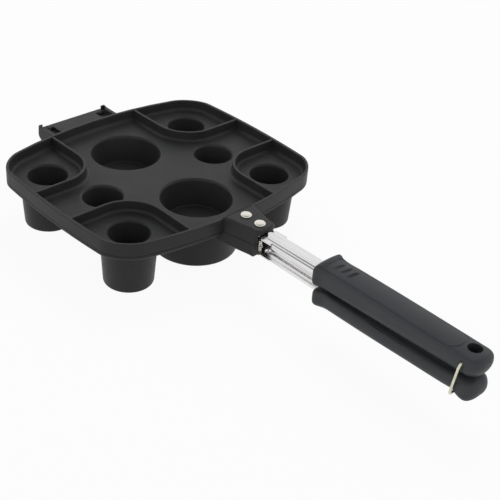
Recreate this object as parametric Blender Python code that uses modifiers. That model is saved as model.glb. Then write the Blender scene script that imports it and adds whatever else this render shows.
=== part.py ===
"""Stovetop cupcake maker: two hinged castings, two riveted handles and a wire bail that locks them.

Lengths are in metres and +Z is up. Every shape is drawn in the pan frame, whose origin is the middle of the upper
floor's top face, with +X along the handles. The datum empty carries that frame, so that the part stands on its cups
at z = 0 with its origin below the middle of its outer box.
"""

import math

import bmesh
import bpy
from mathutils import Matrix, Vector

# Both castings: the bowed outline and the rim
PAN_HALF_LENGTH = 0.0935
PAN_HALF_WIDTH = 0.1071
PAN_CORNER_RADIUS = 0.0233
END_BOW_SHARE = 0.175
SIDE_BOW_SHARE = 0.04
RIM_WALL = 0.0029
RIM_DRAFT = 0.0003
RIM_EDGE = 0.0005
SEAM_DROP = 0.0013
MATING_GAP = 0.0004
FIT_GAP = 0.0003

# Upper casting
RIM_HEIGHT = 0.0095
UPPER_FLOOR = 0.0024
FLOOR_COVE = 0.0038
STEP_CLEARANCE = 0.0005
RECESS_DEPTH = 0.0230
PLUG_WALL = 0.0024
MOUTH_FILLET = 0.0023
RECESS_FILLET = 0.0014
SMALL_RECESS_TOP_RADIUS = 0.0160
SMALL_RECESS_FOOT_RADIUS = 0.0123
LARGE_RECESS_TOP_RADIUS = 0.0288
LARGE_RECESS_FOOT_RADIUS = 0.0248

# Curved dividers on the upper floor, round the corner cups
DIVIDER_RADIUS = 0.0297
DIVIDER_THICKNESS = 0.0023
DIVIDER_DROP = 0.0003
DIVIDER_COVE = 0.0030

# Lower casting
LOWER_FLOOR = 0.0026
LOWER_RIM_DEPTH = 0.0030
LOWER_RIM_EDGE = 0.0008
LOWER_BAND = 0.0045
LOWER_BAND_SLOPE = 0.0020
FOOT_DROP = 0.0429
MIDDLE_FOOT_RISE = 0.0075
CUP_WALL = 0.0024
CUP_FILLET = 0.0021
SMALL_CUP_TOP_RADIUS = 0.0220
SMALL_CUP_FOOT_RADIUS = 0.0196
LARGE_CUP_TOP_RADIUS = 0.0370
LARGE_CUP_FOOT_RADIUS = 0.0347

# Places of the cups, as shares of the castings' half length and half width
CORNER_CUP_X_SHARE = 0.56257
CORNER_CUP_Y_SHARE = 0.67880
MIDDLE_CUP_Y_SHARE = 0.53875
LARGE_CUP_X_SHARE = 0.48128

# Shanks: the parting plane between the handles, and one half's pressed section above it
PARTING_DROP = 0.0002
SHANK_SHOULDER_RISE = 0.0072
SHANK_LIP_DEPTH = 0.0026
SHANK_LIP_STUB = 0.0012
SHANK_RIB_FRONT_RISE = 0.0022
SHANK_RIB_REAR_RISE = 0.0034
SHANK_RIB_HALF_WIDTH = 0.0052
SHANK_RIB_SLOPE = 0.0009
SHANK_HALF_WIDTH = 0.0091
SHANK_EDGE = 0.0008
SHANK_THICKNESS = 0.0010
SHANK_NECK_HALF_WIDTH = 0.0056
SHANK_NECK_TAPER = 0.0022
SHANK_LIP_REACH = 0.0150
SHANK_RIB_REACH = 0.0070
SHANK_FREE_LENGTH = 0.0624
TANG_IN_LUG = 0.0240
TANG_IN_GRIP = 0.0980

# Riveting lugs at the front of both castings
LUG_ROOT_HALF_WIDTH = 0.0152
LUG_TAPER_REACH = 0.0235
LUG_NECK_HALF_WIDTH = 0.0101
LUG_REACH = 0.0279
LUG_END_HALF_WIDTH = 0.0098
LUG_TONGUE_LENGTH = 0.0050
LUG_ROOF = 0.0043
LUG_FLOOR = 0.0046
LUG_EDGE = 0.0018
LUG_CHANNEL_START = 0.0020
LUG_CHANNEL_HALF_WIDTH = 0.0059
LUG_GUSSET_LENGTH = 0.0129

# Rivets
RIVET_FRONT_REACH = 0.0079
RIVET_SPACING = 0.0150
LOWER_RIVET_SHIFT = 0.0014
RIVET_HEAD_RADIUS = 0.0043
RIVET_HEAD_HEIGHT = 0.0011
RIVET_SHAFT_RADIUS = 0.0019
RIVET_COLLAR_RADIUS = 0.0027
RIVET_COLLAR_HEIGHT = 0.0008
RIVET_TAIL = 0.0034
RIVET_HOLLOW_RADIUS = 0.0011
RIVET_HOLLOW_DEPTH = 0.0030

# Hinge: the upper casting's plate with its pins, the lower casting's ears with their open-topped pockets
HINGE_REACH = 0.0248
HINGE_DROP = 0.0019
PIN_RADIUS = 0.0019
PIN_CLEARANCE = 0.00035
PIN_ROOT_LENGTH = 0.0008
PLATE_HALF_WIDTH = 0.0258
PLATE_ROOT_HALF_WIDTH = 0.0306
PLATE_ROOT_REACH = 0.0142
PLATE_THICKNESS = 0.0039
PLATE_OVERHANG = 0.0020
HINGE_RUN_GAP = 0.0006
ROOT_WEB_HEIGHT = 0.0030
ROOT_WEB_LENGTH = 0.0042
ROOT_WEB_SINK = 0.0003
EAR_THICKNESS = 0.0032
EAR_SKIN = 0.0009
EAR_RADIUS = 0.0053
EAR_CENTRE_AHEAD = 0.0011
EAR_CENTRE_DROP = 0.0025
EAR_HORN_BACK = 0.0036
EAR_HORN_RISE = 0.0049
EAR_TIP_BACK = 0.0021
EAR_TIP_RISE = 0.0052
EAR_SHOULDER_AHEAD = 0.0011
EAR_TOP_RISE = 0.0044
EAR_WALL_CLEARANCE = 0.0013
EAR_ROOT_SINK = 0.0003

# Grips, measured from their fronts
GRIP_LENGTH = 0.1412
GRIP_HALF_WIDTH = 0.0117
GRIP_END_RADIUS = 0.0090
UPPER_GRIP_RISE = 0.0171
UPPER_GRIP_GAP = 0.0002
UPPER_GRIP_TOP_RADIUS = 0.0039
UPPER_GRIP_UNDER_RADIUS = 0.0080
LOWER_GRIP_SETBACK = 0.0020
LOWER_GRIP_GAP = 0.0009
LOWER_GRIP_DROP = 0.0138
LOWER_GRIP_TOP_RADIUS = 0.0016
LOWER_GRIP_UNDER_RADIUS = 0.0052
HANG_HOLE_RADIUS = 0.0052
HANG_HOLE_FROM_END = 0.0129
HANG_HOLE_SIDE = 0.0018
GROOVE_LENGTH = 0.0042
GROOVE_WIDTH = 0.0110
GROOVE_DEPTH = 0.0008
GROOVE_FIRST = 0.0129
GROOVE_PITCH = 0.0065
GROOVE_COUNT = 3
GROOVE_SIDE = 0.0010
GROOVE_SKEW = math.radians(-8.0)

# Wire bail
WIRE_RADIUS = 0.00095
BAIL_FROM_END = 0.0124
BAIL_RISE = 0.0128
BAIL_REACH = 0.0293
BAIL_LEAN = math.radians(3.3)
BAIL_BEND = 0.0026
BAIL_EYE_BEND = 0.0030
BAIL_SIDE_GAP = 0.0012
BAIL_END_SHOW = 0.0007
BAIL_HOLE_CLEARANCE = 0.00035
HEEL_CLEARANCE = 0.00025
HEEL_SETBACK = 0.0038
HEEL_DEPTH = 0.0030

# One overrun for every cut, and the counts of facets
OVERRUN = 0.0020
MERGE_DISTANCE = 0.00001
SMALLEST_RADIUS = 0.0005
CORNER_STEPS = 6
SIDE_STEPS = 6
FILLET_STEPS = 3
DIVIDER_STEPS = 9
TONGUE_STEPS = 6
SMALL_CUP_SEGMENTS = 24
LARGE_CUP_SEGMENTS = 36
RIVET_SEGMENTS = 16
HANG_HOLE_SEGMENTS = 24
PIN_SEGMENTS = 20
SEAT_STEPS = 8
EAR_BACK_STEPS = 6
GRIP_CORNER_STEPS = 4
GROOVE_SEGMENTS = 16
GROOVE_RINGS = 8
BAIL_BEND_STEPS = 5
BAIL_ROUND_STEPS = 2
SMOOTH_ANGLE = math.radians(35.0)

# Shares that shape coves, rounded edges, rivet heads and the rib's start: pairs of width and height, or one value
COVE_SHARES = ((1.0, 0.0), (0.38, 0.12), (0.08, 0.45), (0.0, 1.0))
EDGE_SHARES = ((0.0, 1.0), (0.3, 0.3), (1.0, 0.0))
RIVET_HEAD_SHARES = ((0.0, 1.0), (0.45, 0.93), (0.75, 0.72), (0.95, 0.38), (1.0, 0.0))
RIB_NONE_SHARES = (0.70, 0.0)
RIB_PART_SHARES = (0.80, 0.6)
RIB_FULL_SHARES = (1.0, 1.0)
SMALLEST_MITRE_SHARE = 0.3
TONGUE_SHARE = 0.7
GROOVE_HEIGHT_SHARE = 2.0

# Largest shares of a grip's half width and height that its corner radii may take: under side, then top
GRIP_WIDTH_SHARE = 0.90
GRIP_HEIGHT_SHARES = (0.60, 0.36)

# Shares along each grip, from its front to where its round end or its heel starts: along, half width, top, underside.
# Heights are shares of the grip's own height, away from its parting face.
UPPER_GRIP_SHARES = (
    (0.000, 1.128, 0.971, 0.12),
    (0.009, 1.188, 1.041, 0.04),
    (0.023, 1.162, 1.064, 0.01),
    (0.042, 1.068, 1.029, 0.00),
    (0.068, 1.017, 1.006, 0.00),
    (0.106, 1.000, 0.994, 0.00),
    (0.182, 1.000, 1.000, 0.00),
    (0.545, 1.010, 1.012, 0.00),
    (1.000, 1.000, 1.000, 0.00),
)
LOWER_GRIP_SHARES = (
    (0.000, 1.128, 0.05, 0.970),
    (0.010, 1.205, 0.01, 1.040),
    (0.028, 1.188, 0.00, 1.045),
    (0.048, 1.103, 0.00, 1.030),
    (0.072, 1.026, 0.00, 1.015),
    (0.104, 1.000, 0.00, 1.000),
    (0.176, 1.000, 0.00, 1.000),
    (0.400, 1.000, 0.00, 0.980),
    (0.720, 1.000, 0.00, 0.900),
    (0.920, 1.000, 0.00, 0.870),
)
END_ANGLE_SHARES = (0.22, 0.42, 0.62, 0.81, 1.0)

# Finishes: name, colour, roughness and metallic value
FINISHES = (
    ("nonstick_cast", (0.045, 0.045, 0.045), 0.45, 0.0),
    ("polished_steel", (0.78, 0.77, 0.76), 0.18, 1.0),
    ("grip_moulding", (0.055, 0.058, 0.062), 0.5, 0.0),
    ("rivet_aluminium", (0.85, 0.84, 0.80), 0.35, 1.0),
    ("bail_wire", (0.78, 0.76, 0.66), 0.3, 1.0),
)

# Places that follow from the sizes above
CORNER_CUP_X = PAN_HALF_LENGTH * CORNER_CUP_X_SHARE
CORNER_CUP_Y = PAN_HALF_WIDTH * CORNER_CUP_Y_SHARE
MIDDLE_CUP_Y = PAN_HALF_WIDTH * MIDDLE_CUP_Y_SHARE
LARGE_CUP_X = PAN_HALF_LENGTH * LARGE_CUP_X_SHARE
UPPER_RIM_BOTTOM = MATING_GAP / 2 - SEAM_DROP
LOWER_LIP_TOP = -SEAM_DROP - MATING_GAP / 2
LOWER_FACE = -UPPER_FLOOR - MATING_GAP
LOWER_RIM_BOTTOM = LOWER_LIP_TOP - LOWER_RIM_DEPTH
PLUG_ROOT = -UPPER_FLOOR / 2
CUP_ROOT = LOWER_FACE - LOWER_FLOOR / 2
HINGE_X = -PAN_HALF_LENGTH - HINGE_REACH
HINGE_Z = -HINGE_DROP
LUG_END = PAN_HALF_LENGTH + LUG_REACH
GRIP_START = LUG_END + SHANK_FREE_LENGTH
GRIP_END = GRIP_START + GRIP_LENGTH
SHOULDER_Z = SHANK_SHOULDER_RISE - PARTING_DROP
LOWER_SHOULDER_Z = -SHANK_SHOULDER_RISE - PARTING_DROP
LUG_ROOF_BOTTOM = SHOULDER_Z + FIT_GAP
LUG_TOP = LUG_ROOF_BOTTOM + LUG_ROOF
LUG_FLOOR_TOP = LOWER_SHOULDER_Z - FIT_GAP
LUG_BOTTOM = LUG_FLOOR_TOP - LUG_FLOOR
BAIL_X = GRIP_END - BAIL_FROM_END
BAIL_Z = BAIL_RISE - PARTING_DROP
HANG_HOLE_X = GRIP_END - HANG_HOLE_FROM_END
EAR_INNER = PLATE_ROOT_HALF_WIDTH + HINGE_RUN_GAP
EAR_OUTER = EAR_INNER + EAR_THICKNESS
PIN_END = EAR_OUTER - EAR_SKIN - FIT_GAP
PART_BACK = HINGE_X + EAR_CENTRE_AHEAD - EAR_RADIUS
PART_MIDDLE = (PART_BACK + GRIP_END) / 2

CORNER_PLACES = [(sx * CORNER_CUP_X, sy * CORNER_CUP_Y) for sx in (1, -1) for sy in (1, -1)]
MIDDLE_PLACES = [(0.0, sy * MIDDLE_CUP_Y) for sy in (1, -1)]
LARGE_PLACES = [(sx * LARGE_CUP_X, 0.0) for sx in (1, -1)]

# Recesses: name, radii at the top and the foot, places, facets. Cups: the same, and how much higher the foot sits.
RECESS_KINDS = (
    ("small", SMALL_RECESS_TOP_RADIUS, SMALL_RECESS_FOOT_RADIUS, CORNER_PLACES + MIDDLE_PLACES, SMALL_CUP_SEGMENTS),
    ("large", LARGE_RECESS_TOP_RADIUS, LARGE_RECESS_FOOT_RADIUS, LARGE_PLACES, LARGE_CUP_SEGMENTS),
)
CUP_KINDS = (
    ("corner", SMALL_CUP_TOP_RADIUS, SMALL_CUP_FOOT_RADIUS, CORNER_PLACES, SMALL_CUP_SEGMENTS, 0.0),
    ("middle", SMALL_CUP_TOP_RADIUS, SMALL_CUP_FOOT_RADIUS, MIDDLE_PLACES, SMALL_CUP_SEGMENTS, MIDDLE_FOOT_RISE),
    ("large", LARGE_CUP_TOP_RADIUS, LARGE_CUP_FOOT_RADIUS, LARGE_PLACES, LARGE_CUP_SEGMENTS, 0.0),
)


def clear_scene():
    """Remove whatever the open file holds."""
    for item in list(bpy.data.objects):
        bpy.data.objects.remove(item, do_unlink=True)


def new_collection(name):
    """A collection under the scene's own."""
    collection = bpy.data.collections.new(name)
    bpy.context.scene.collection.children.link(collection)
    return collection


def material(name, colour, roughness, metallic):
    """A plain Principled material."""
    finish = bpy.data.materials.new(name)
    finish.use_nodes = True
    shader = finish.node_tree.nodes["Principled BSDF"]
    shader.inputs["Base Color"].default_value = (*colour, 1.0)
    shader.inputs["Roughness"].default_value = roughness
    shader.inputs["Metallic"].default_value = metallic
    return finish


def object_from_bmesh(name, shape):
    """An object made from a bmesh, with its faces turned outwards."""
    bmesh.ops.recalc_face_normals(shape, faces=shape.faces)
    mesh = bpy.data.meshes.new(name)
    shape.to_mesh(mesh)
    shape.free()
    item = bpy.data.objects.new(name, mesh)
    bpy.context.scene.collection.objects.link(item)
    return item


def applied(item, name):
    """A plain mesh object with the evaluated shape of another, which is removed."""
    bpy.context.view_layer.update()
    depsgraph = bpy.context.evaluated_depsgraph_get()
    mesh = bpy.data.meshes.new_from_object(item.evaluated_get(depsgraph))
    mesh.transform(item.matrix_world)
    bpy.data.objects.remove(item, do_unlink=True)
    shape = bmesh.new()
    shape.from_mesh(mesh)
    bpy.data.meshes.remove(mesh)
    bmesh.ops.remove_doubles(shape, verts=shape.verts, dist=MERGE_DISTANCE)
    return object_from_bmesh(name, shape)


def boolean(item, tool, operation):
    """A live Boolean of one object with another."""
    modifier = item.modifiers.new(tool.name, "BOOLEAN")
    modifier.operation = operation
    modifier.solver = "EXACT"
    modifier.object = tool


def loft(name, rings):
    """A solid through rings of as many points each, with flat caps on the first and the last."""
    shape = bmesh.new()
    rows = [[shape.verts.new(point) for point in ring] for ring in rings]
    count = len(rows[0])
    for row, following in zip(rows, rows[1:]):
        for i in range(count):
            j = (i + 1) % count
            shape.faces.new((row[i], row[j], following[j], following[i]))
    shape.faces.new(rows[0])
    shape.faces.new(rows[-1])
    return object_from_bmesh(name, shape)


def flat_outline(name, loops, low, high):
    """A flat plate between two heights, from an outline and its holes as loops of (x, y)."""
    curve = bpy.data.curves.new(name, "CURVE")
    curve.dimensions = "2D"
    curve.fill_mode = "BOTH"
    curve.extrude = (high - low) / 2
    for loop in loops:
        spline = curve.splines.new("POLY")
        spline.points.add(len(loop) - 1)
        for point, (x, y) in zip(spline.points, loop):
            point.co = (x, y, 0.0, 1.0)
        spline.use_cyclic_u = True
    guide = bpy.data.objects.new(name, curve)
    guide.location.z = (low + high) / 2
    bpy.context.scene.collection.objects.link(guide)
    return applied(guide, name)


def upright_outline(name, loops, low, high):
    """A flat plate between two values of y, from loops of (x, z)."""
    plate = flat_outline(name, loops, -high, -low)
    plate.data.transform(Matrix.Rotation(math.radians(90.0), 4, "X"))
    return plate


def turned(name, profile, segments):
    """A body turned about Z, from (radius, height) points that run down its outer side."""
    mesh = bpy.data.meshes.new(name)
    points = [(radius, 0.0, height) for radius, height in profile]
    mesh.from_pydata(points, [(i, i + 1) for i in range(len(points) - 1)], [])
    item = bpy.data.objects.new(name, mesh)
    bpy.context.scene.collection.objects.link(item)
    screw = item.modifiers.new("Turn", "SCREW")
    screw.steps = segments
    screw.render_steps = segments
    screw.use_merge_vertices = True
    screw.merge_threshold = MERGE_DISTANCE
    return applied(item, name)


def repeated(name, source, places):
    """One object with a copy of a body at each place, which replaces the source."""
    shape = bmesh.new()
    for x, y in places:
        first = len(shape.verts)
        shape.from_mesh(source.data)
        shape.verts.ensure_lookup_table()
        bmesh.ops.translate(shape, verts=shape.verts[first:], vec=(x, y, 0.0))
    bpy.data.objects.remove(source, do_unlink=True)
    return object_from_bmesh(name, shape)


def cylinder(name, radius, low, high, place, segments, axis="Z"):
    """A cylinder along Z or Y between two values of that axis."""
    shape = bmesh.new()
    bmesh.ops.create_cone(
        shape, cap_ends=True, segments=segments, radius1=radius, radius2=radius, depth=high - low
    )
    middle = (low + high) / 2
    if axis == "Y":
        bmesh.ops.rotate(shape, verts=shape.verts, matrix=Matrix.Rotation(math.radians(90.0), 3, "X"))
        centre = (place[0], middle, place[1])
    else:
        centre = (place[0], place[1], middle)
    bmesh.ops.translate(shape, verts=shape.verts, vec=centre)
    return object_from_bmesh(name, shape)


def box(name, low, high):
    """A box between two opposite corners."""
    shape = bmesh.new()
    bmesh.ops.create_cube(shape, size=1.0)
    for vertex in shape.verts:
        for i in range(3):
            vertex.co[i] = low[i] if vertex.co[i] < 0 else high[i]
    return object_from_bmesh(name, shape)


def inset_loop(points, distance):
    """A counter-clockwise loop of (x, y) drawn in by a distance, with mitred corners."""
    count = len(points)
    result = []
    for i in range(count):
        here = Vector(points[i])
        before = (here - Vector(points[i - 1])).normalized()
        after = (Vector(points[(i + 1) % count]) - here).normalized()
        inward = Vector((-before.y - after.y, before.x + after.x)).normalized()
        mitre = max(inward.dot(Vector((-before.y, before.x))), SMALLEST_MITRE_SHARE)
        result.append(tuple(here + inward * (distance / mitre)))
    return result


def raised(points, height):
    """Points of (x, y) at one height."""
    return [(x, y, height) for x, y in points]


def pan_outline(inset):
    """The castings' outline drawn in by an inset: a round-cornered rectangle whose sides bow outwards."""
    half_x = PAN_HALF_LENGTH - inset
    half_y = PAN_HALF_WIDTH - inset
    radius = max(PAN_CORNER_RADIUS - inset, SMALLEST_RADIUS)
    straight = []
    for corner, (sx, sy) in enumerate(((1, 1), (-1, 1), (-1, -1), (1, -1))):
        for step in range(CORNER_STEPS + 1):
            angle = (corner + step / CORNER_STEPS) * math.pi / 2
            x = sx * (half_x - radius) + radius * math.cos(angle)
            y = sy * (half_y - radius) + radius * math.sin(angle)
            straight.append(Vector((x, y)))
    points = []
    for i, point in enumerate(straight):
        points.append(point)
        if i % (CORNER_STEPS + 1) == CORNER_STEPS:
            following = straight[(i + 1) % len(straight)]
            for step in range(1, SIDE_STEPS):
                points.append(point.lerp(following, step / SIDE_STEPS))
    bowed = []
    for x, y in points:
        bowed.append((
            x * (1 - END_BOW_SHARE * (y / PAN_HALF_WIDTH) ** 2),
            y * (1 - SIDE_BOW_SHARE * (x / PAN_HALF_LENGTH) ** 2),
        ))
    return bowed


def rim_x(y):
    """How far the end of the rim reaches along X at a given y."""
    return PAN_HALF_LENGTH * (1 - END_BOW_SHARE * (y / PAN_HALF_WIDTH) ** 2)


def rim_y(x):
    """How far the side of the rim reaches along Y at a given x."""
    return PAN_HALF_WIDTH * (1 - SIDE_BOW_SHARE * (x / PAN_HALF_LENGTH) ** 2)


def tapered(top_radius, foot_radius, depth, full_depth):
    """The radius of a tapered wall at a depth below its top."""
    return top_radius + (foot_radius - top_radius) * depth / full_depth


def mouth_arc(wall_radius, top):
    """Points of a rounded mouth, from the flat face it opens in down to the wall."""
    points = []
    for step in range(FILLET_STEPS + 1):
        angle = step / FILLET_STEPS * math.pi / 2
        radius = wall_radius + MOUTH_FILLET * (1 - math.sin(angle))
        points.append((radius, top - MOUTH_FILLET * (1 - math.cos(angle))))
    return points


def foot_arc(radius, fillet, bottom):
    """Points of the rounded foot of a cup, from its wall to its flat bottom."""
    points = []
    for step in range(FILLET_STEPS + 1):
        angle = step / FILLET_STEPS * math.pi / 2
        points.append((
            radius - fillet * (1 - math.cos(angle)),
            bottom + fillet * (1 - math.sin(angle)),
        ))
    return points


def plug_profile(top_radius, foot_radius):
    """The outside of a plug under the upper floor, rooted in the middle of that floor."""
    bottom = -RECESS_DEPTH - PLUG_WALL
    root_radius = tapered(top_radius, foot_radius, -PLUG_ROOT, RECESS_DEPTH) + PLUG_WALL
    outer_foot = foot_radius + PLUG_WALL
    foot = foot_arc(outer_foot, PLUG_WALL, bottom)
    return [(0.0, PLUG_ROOT), (root_radius, PLUG_ROOT), *foot, (0.0, bottom)]


def recess_profile(top_radius, foot_radius):
    """The hollow of a plug, with a rounded mouth."""
    wall_radius = tapered(top_radius, foot_radius, MOUTH_FILLET, RECESS_DEPTH)
    mouth = mouth_arc(wall_radius, 0.0)
    foot = foot_arc(foot_radius, RECESS_FILLET, -RECESS_DEPTH)
    return [(0.0, OVERRUN), (mouth[0][0], OVERRUN), *mouth, *foot, (0.0, -RECESS_DEPTH)]


def raised_foot_radius(top_radius, foot_radius, rise):
    """The radius at the foot of a cup whose foot sits higher, with the same taper."""
    depth = FOOT_DROP + CUP_ROOT
    return tapered(top_radius, foot_radius, depth - rise, depth)


def cup_profile(top_radius, foot_radius, rise):
    """The outside of a lower cup, rooted in the middle of the lower floor."""
    bottom = rise - FOOT_DROP
    foot = foot_arc(raised_foot_radius(top_radius, foot_radius, rise), CUP_FILLET, bottom)
    return [(0.0, CUP_ROOT), (top_radius, CUP_ROOT), *foot, (0.0, bottom)]


def cup_hollow_profile(top_radius, foot_radius, rise):
    """The inside of a lower cup, open through the lower floor."""
    top = LOWER_FACE + OVERRUN
    bottom = rise - FOOT_DROP + CUP_WALL
    foot = foot_arc(raised_foot_radius(top_radius, foot_radius, rise) - CUP_WALL, CUP_FILLET, bottom)
    mouth_radius = top_radius - CUP_WALL
    return [(0.0, top), (mouth_radius, top), (mouth_radius, LOWER_FACE), *foot, (0.0, bottom)]


def divider_path(sx, sy):
    """The middle line of the divider round one corner cup: a leg from the end wall, an arc, a leg to the side."""
    centre = Vector((sx * CORNER_CUP_X, sy * CORNER_CUP_Y))
    leg_y = centre.y - sy * DIVIDER_RADIUS
    leg_x = centre.x - sx * DIVIDER_RADIUS
    points = [Vector((sx * (rim_x(leg_y) - RIM_WALL / 2), leg_y))]
    for step in range(DIVIDER_STEPS + 1):
        angle = step / DIVIDER_STEPS * math.pi / 2
        offset = Vector((-sx * math.sin(angle), -sy * math.cos(angle)))
        points.append(centre + offset * DIVIDER_RADIUS)
    points.append(Vector((leg_x, sy * (rim_y(leg_x) - RIM_WALL / 2))))
    return points


def ribbon(path, half_width):
    """The closed outline of a ribbon along a path."""
    left = []
    right = []
    for i, point in enumerate(path):
        before = path[max(i - 1, 0)]
        after = path[min(i + 1, len(path) - 1)]
        along = (after - before).normalized()
        across = Vector((-along.y, along.x)) * half_width
        left.append(tuple(point + across))
        right.append(tuple(point - across))
    return left + right[::-1]


def divider(name, sx, sy):
    """One divider, with coved feet and a rounded top edge, rooted in the upper floor."""
    path = divider_path(sx, sy)
    half = DIVIDER_THICKNESS / 2
    top = RIM_HEIGHT - DIVIDER_DROP
    levels = [(half + DIVIDER_COVE, -UPPER_FLOOR / 2)]
    levels += [(half + DIVIDER_COVE * wide, DIVIDER_COVE * high) for wide, high in COVE_SHARES]
    levels += [(half - RIM_EDGE * wide, top - RIM_EDGE * high) for wide, high in EDGE_SHARES]
    return loft(name, [raised(ribbon(path, width), height) for width, height in levels])


def lug_outline(start, tongue):
    """The plan of a lug from a start inside the rim, tapered to its end face, with a round tongue or without."""
    taper_end = PAN_HALF_LENGTH + LUG_TAPER_REACH
    side = [
        (start, LUG_ROOT_HALF_WIDTH),
        (PAN_HALF_LENGTH, LUG_ROOT_HALF_WIDTH),
        (taper_end, LUG_NECK_HALF_WIDTH),
        (LUG_END, LUG_END_HALF_WIDTH),
    ]
    if tongue:
        for step in range(1, TONGUE_STEPS):
            angle = step / TONGUE_STEPS * math.pi / 2
            x = LUG_END + LUG_TONGUE_LENGTH * math.sin(angle)
            side.append((x, LUG_END_HALF_WIDTH * math.cos(angle) ** TONGUE_SHARE))
    mirrored = [(x, -y) for x, y in side]
    middle = [(LUG_END + LUG_TONGUE_LENGTH, 0.0)] if tongue else []
    return mirrored + middle + side[::-1]


def edged_block(name, outline, plain, edged):
    """A block from one height to another, with its edge rounded at the second."""
    towards = 1 if edged > plain else -1
    rings = [raised(outline, plain)]
    for wide, high in EDGE_SHARES:
        rings.append(raised(inset_loop(outline, LUG_EDGE * wide), edged - towards * LUG_EDGE * high))
    return loft(name, rings)


def rivet_places(shift):
    """The x of the front and the rear rivet of a lug."""
    front = PAN_HALF_LENGTH + RIVET_FRONT_REACH + shift
    return front, front + RIVET_SPACING


def ear_outline():
    """The side view of an ear: a horn, a flat top, a wall to the rim, a sloping underside and a round back."""
    wall_x = -rim_x(EAR_OUTER) - EAR_WALL_CLEARANCE
    root_x = -rim_x(EAR_OUTER) + RIM_WALL / 2
    centre_x = HINGE_X + EAR_CENTRE_AHEAD
    centre_z = HINGE_Z - EAR_CENTRE_DROP
    top = HINGE_Z + EAR_TOP_RISE
    points = [
        (HINGE_X - EAR_HORN_BACK, HINGE_Z + EAR_HORN_RISE),
        (HINGE_X - EAR_TIP_BACK, HINGE_Z + EAR_TIP_RISE),
        (HINGE_X + EAR_SHOULDER_AHEAD, top),
        (wall_x, top),
        (wall_x, LOWER_LIP_TOP),
        (root_x, LOWER_LIP_TOP),
        (root_x, LOWER_RIM_BOTTOM + EAR_ROOT_SINK),
    ]
    for step in range(EAR_BACK_STEPS + 1):
        angle = -(1 + step / EAR_BACK_STEPS) * math.pi / 2
        points.append((centre_x + EAR_RADIUS * math.cos(angle), centre_z + EAR_RADIUS * math.sin(angle)))
    return points


def pocket_outline():
    """The side view of the pocket for a pin: a round seat, open upwards."""
    seat = PIN_RADIUS + PIN_CLEARANCE
    open_end = HINGE_Z + EAR_TIP_RISE + OVERRUN
    points = [(HINGE_X + seat, open_end), (HINGE_X - seat, open_end)]
    for step in range(SEAT_STEPS + 1):
        angle = (1 + step / SEAT_STEPS) * math.pi
        points.append((HINGE_X + seat * math.cos(angle), HINGE_Z + seat * math.sin(angle)))
    return points


def hinge_plate():
    """The upper casting's hinge plate, narrow at the pins and wide at its root."""
    back = HINGE_X - PLATE_OVERHANG
    step = -PAN_HALF_LENGTH - PLATE_ROOT_REACH
    front = -PAN_HALF_LENGTH - HINGE_RUN_GAP
    side = [
        (back, PLATE_HALF_WIDTH),
        (step, PLATE_HALF_WIDTH),
        (step, PLATE_ROOT_HALF_WIDTH),
        (front, PLATE_ROOT_HALF_WIDTH),
    ]
    loop = side + [(x, -y) for x, y in side[::-1]]
    return flat_outline("hinge_plate", [loop], -PLATE_THICKNESS, 0.0)


def root_web():
    """The wedge that roots the hinge plate in the upper rim, clear of the lower casting."""
    wall = -rim_x(PLATE_ROOT_HALF_WIDTH) + RIM_WALL / 2
    face = -PAN_HALF_LENGTH
    under = UPPER_RIM_BOTTOM + MERGE_DISTANCE
    outline = [
        (face - ROOT_WEB_LENGTH, under),
        (wall, under),
        (wall, ROOT_WEB_HEIGHT),
        (face, ROOT_WEB_HEIGHT),
        (face - ROOT_WEB_LENGTH, -ROOT_WEB_SINK),
    ]
    return upright_outline("root_web", [outline], -PLATE_ROOT_HALF_WIDTH, PLATE_ROOT_HALF_WIDTH)


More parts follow.
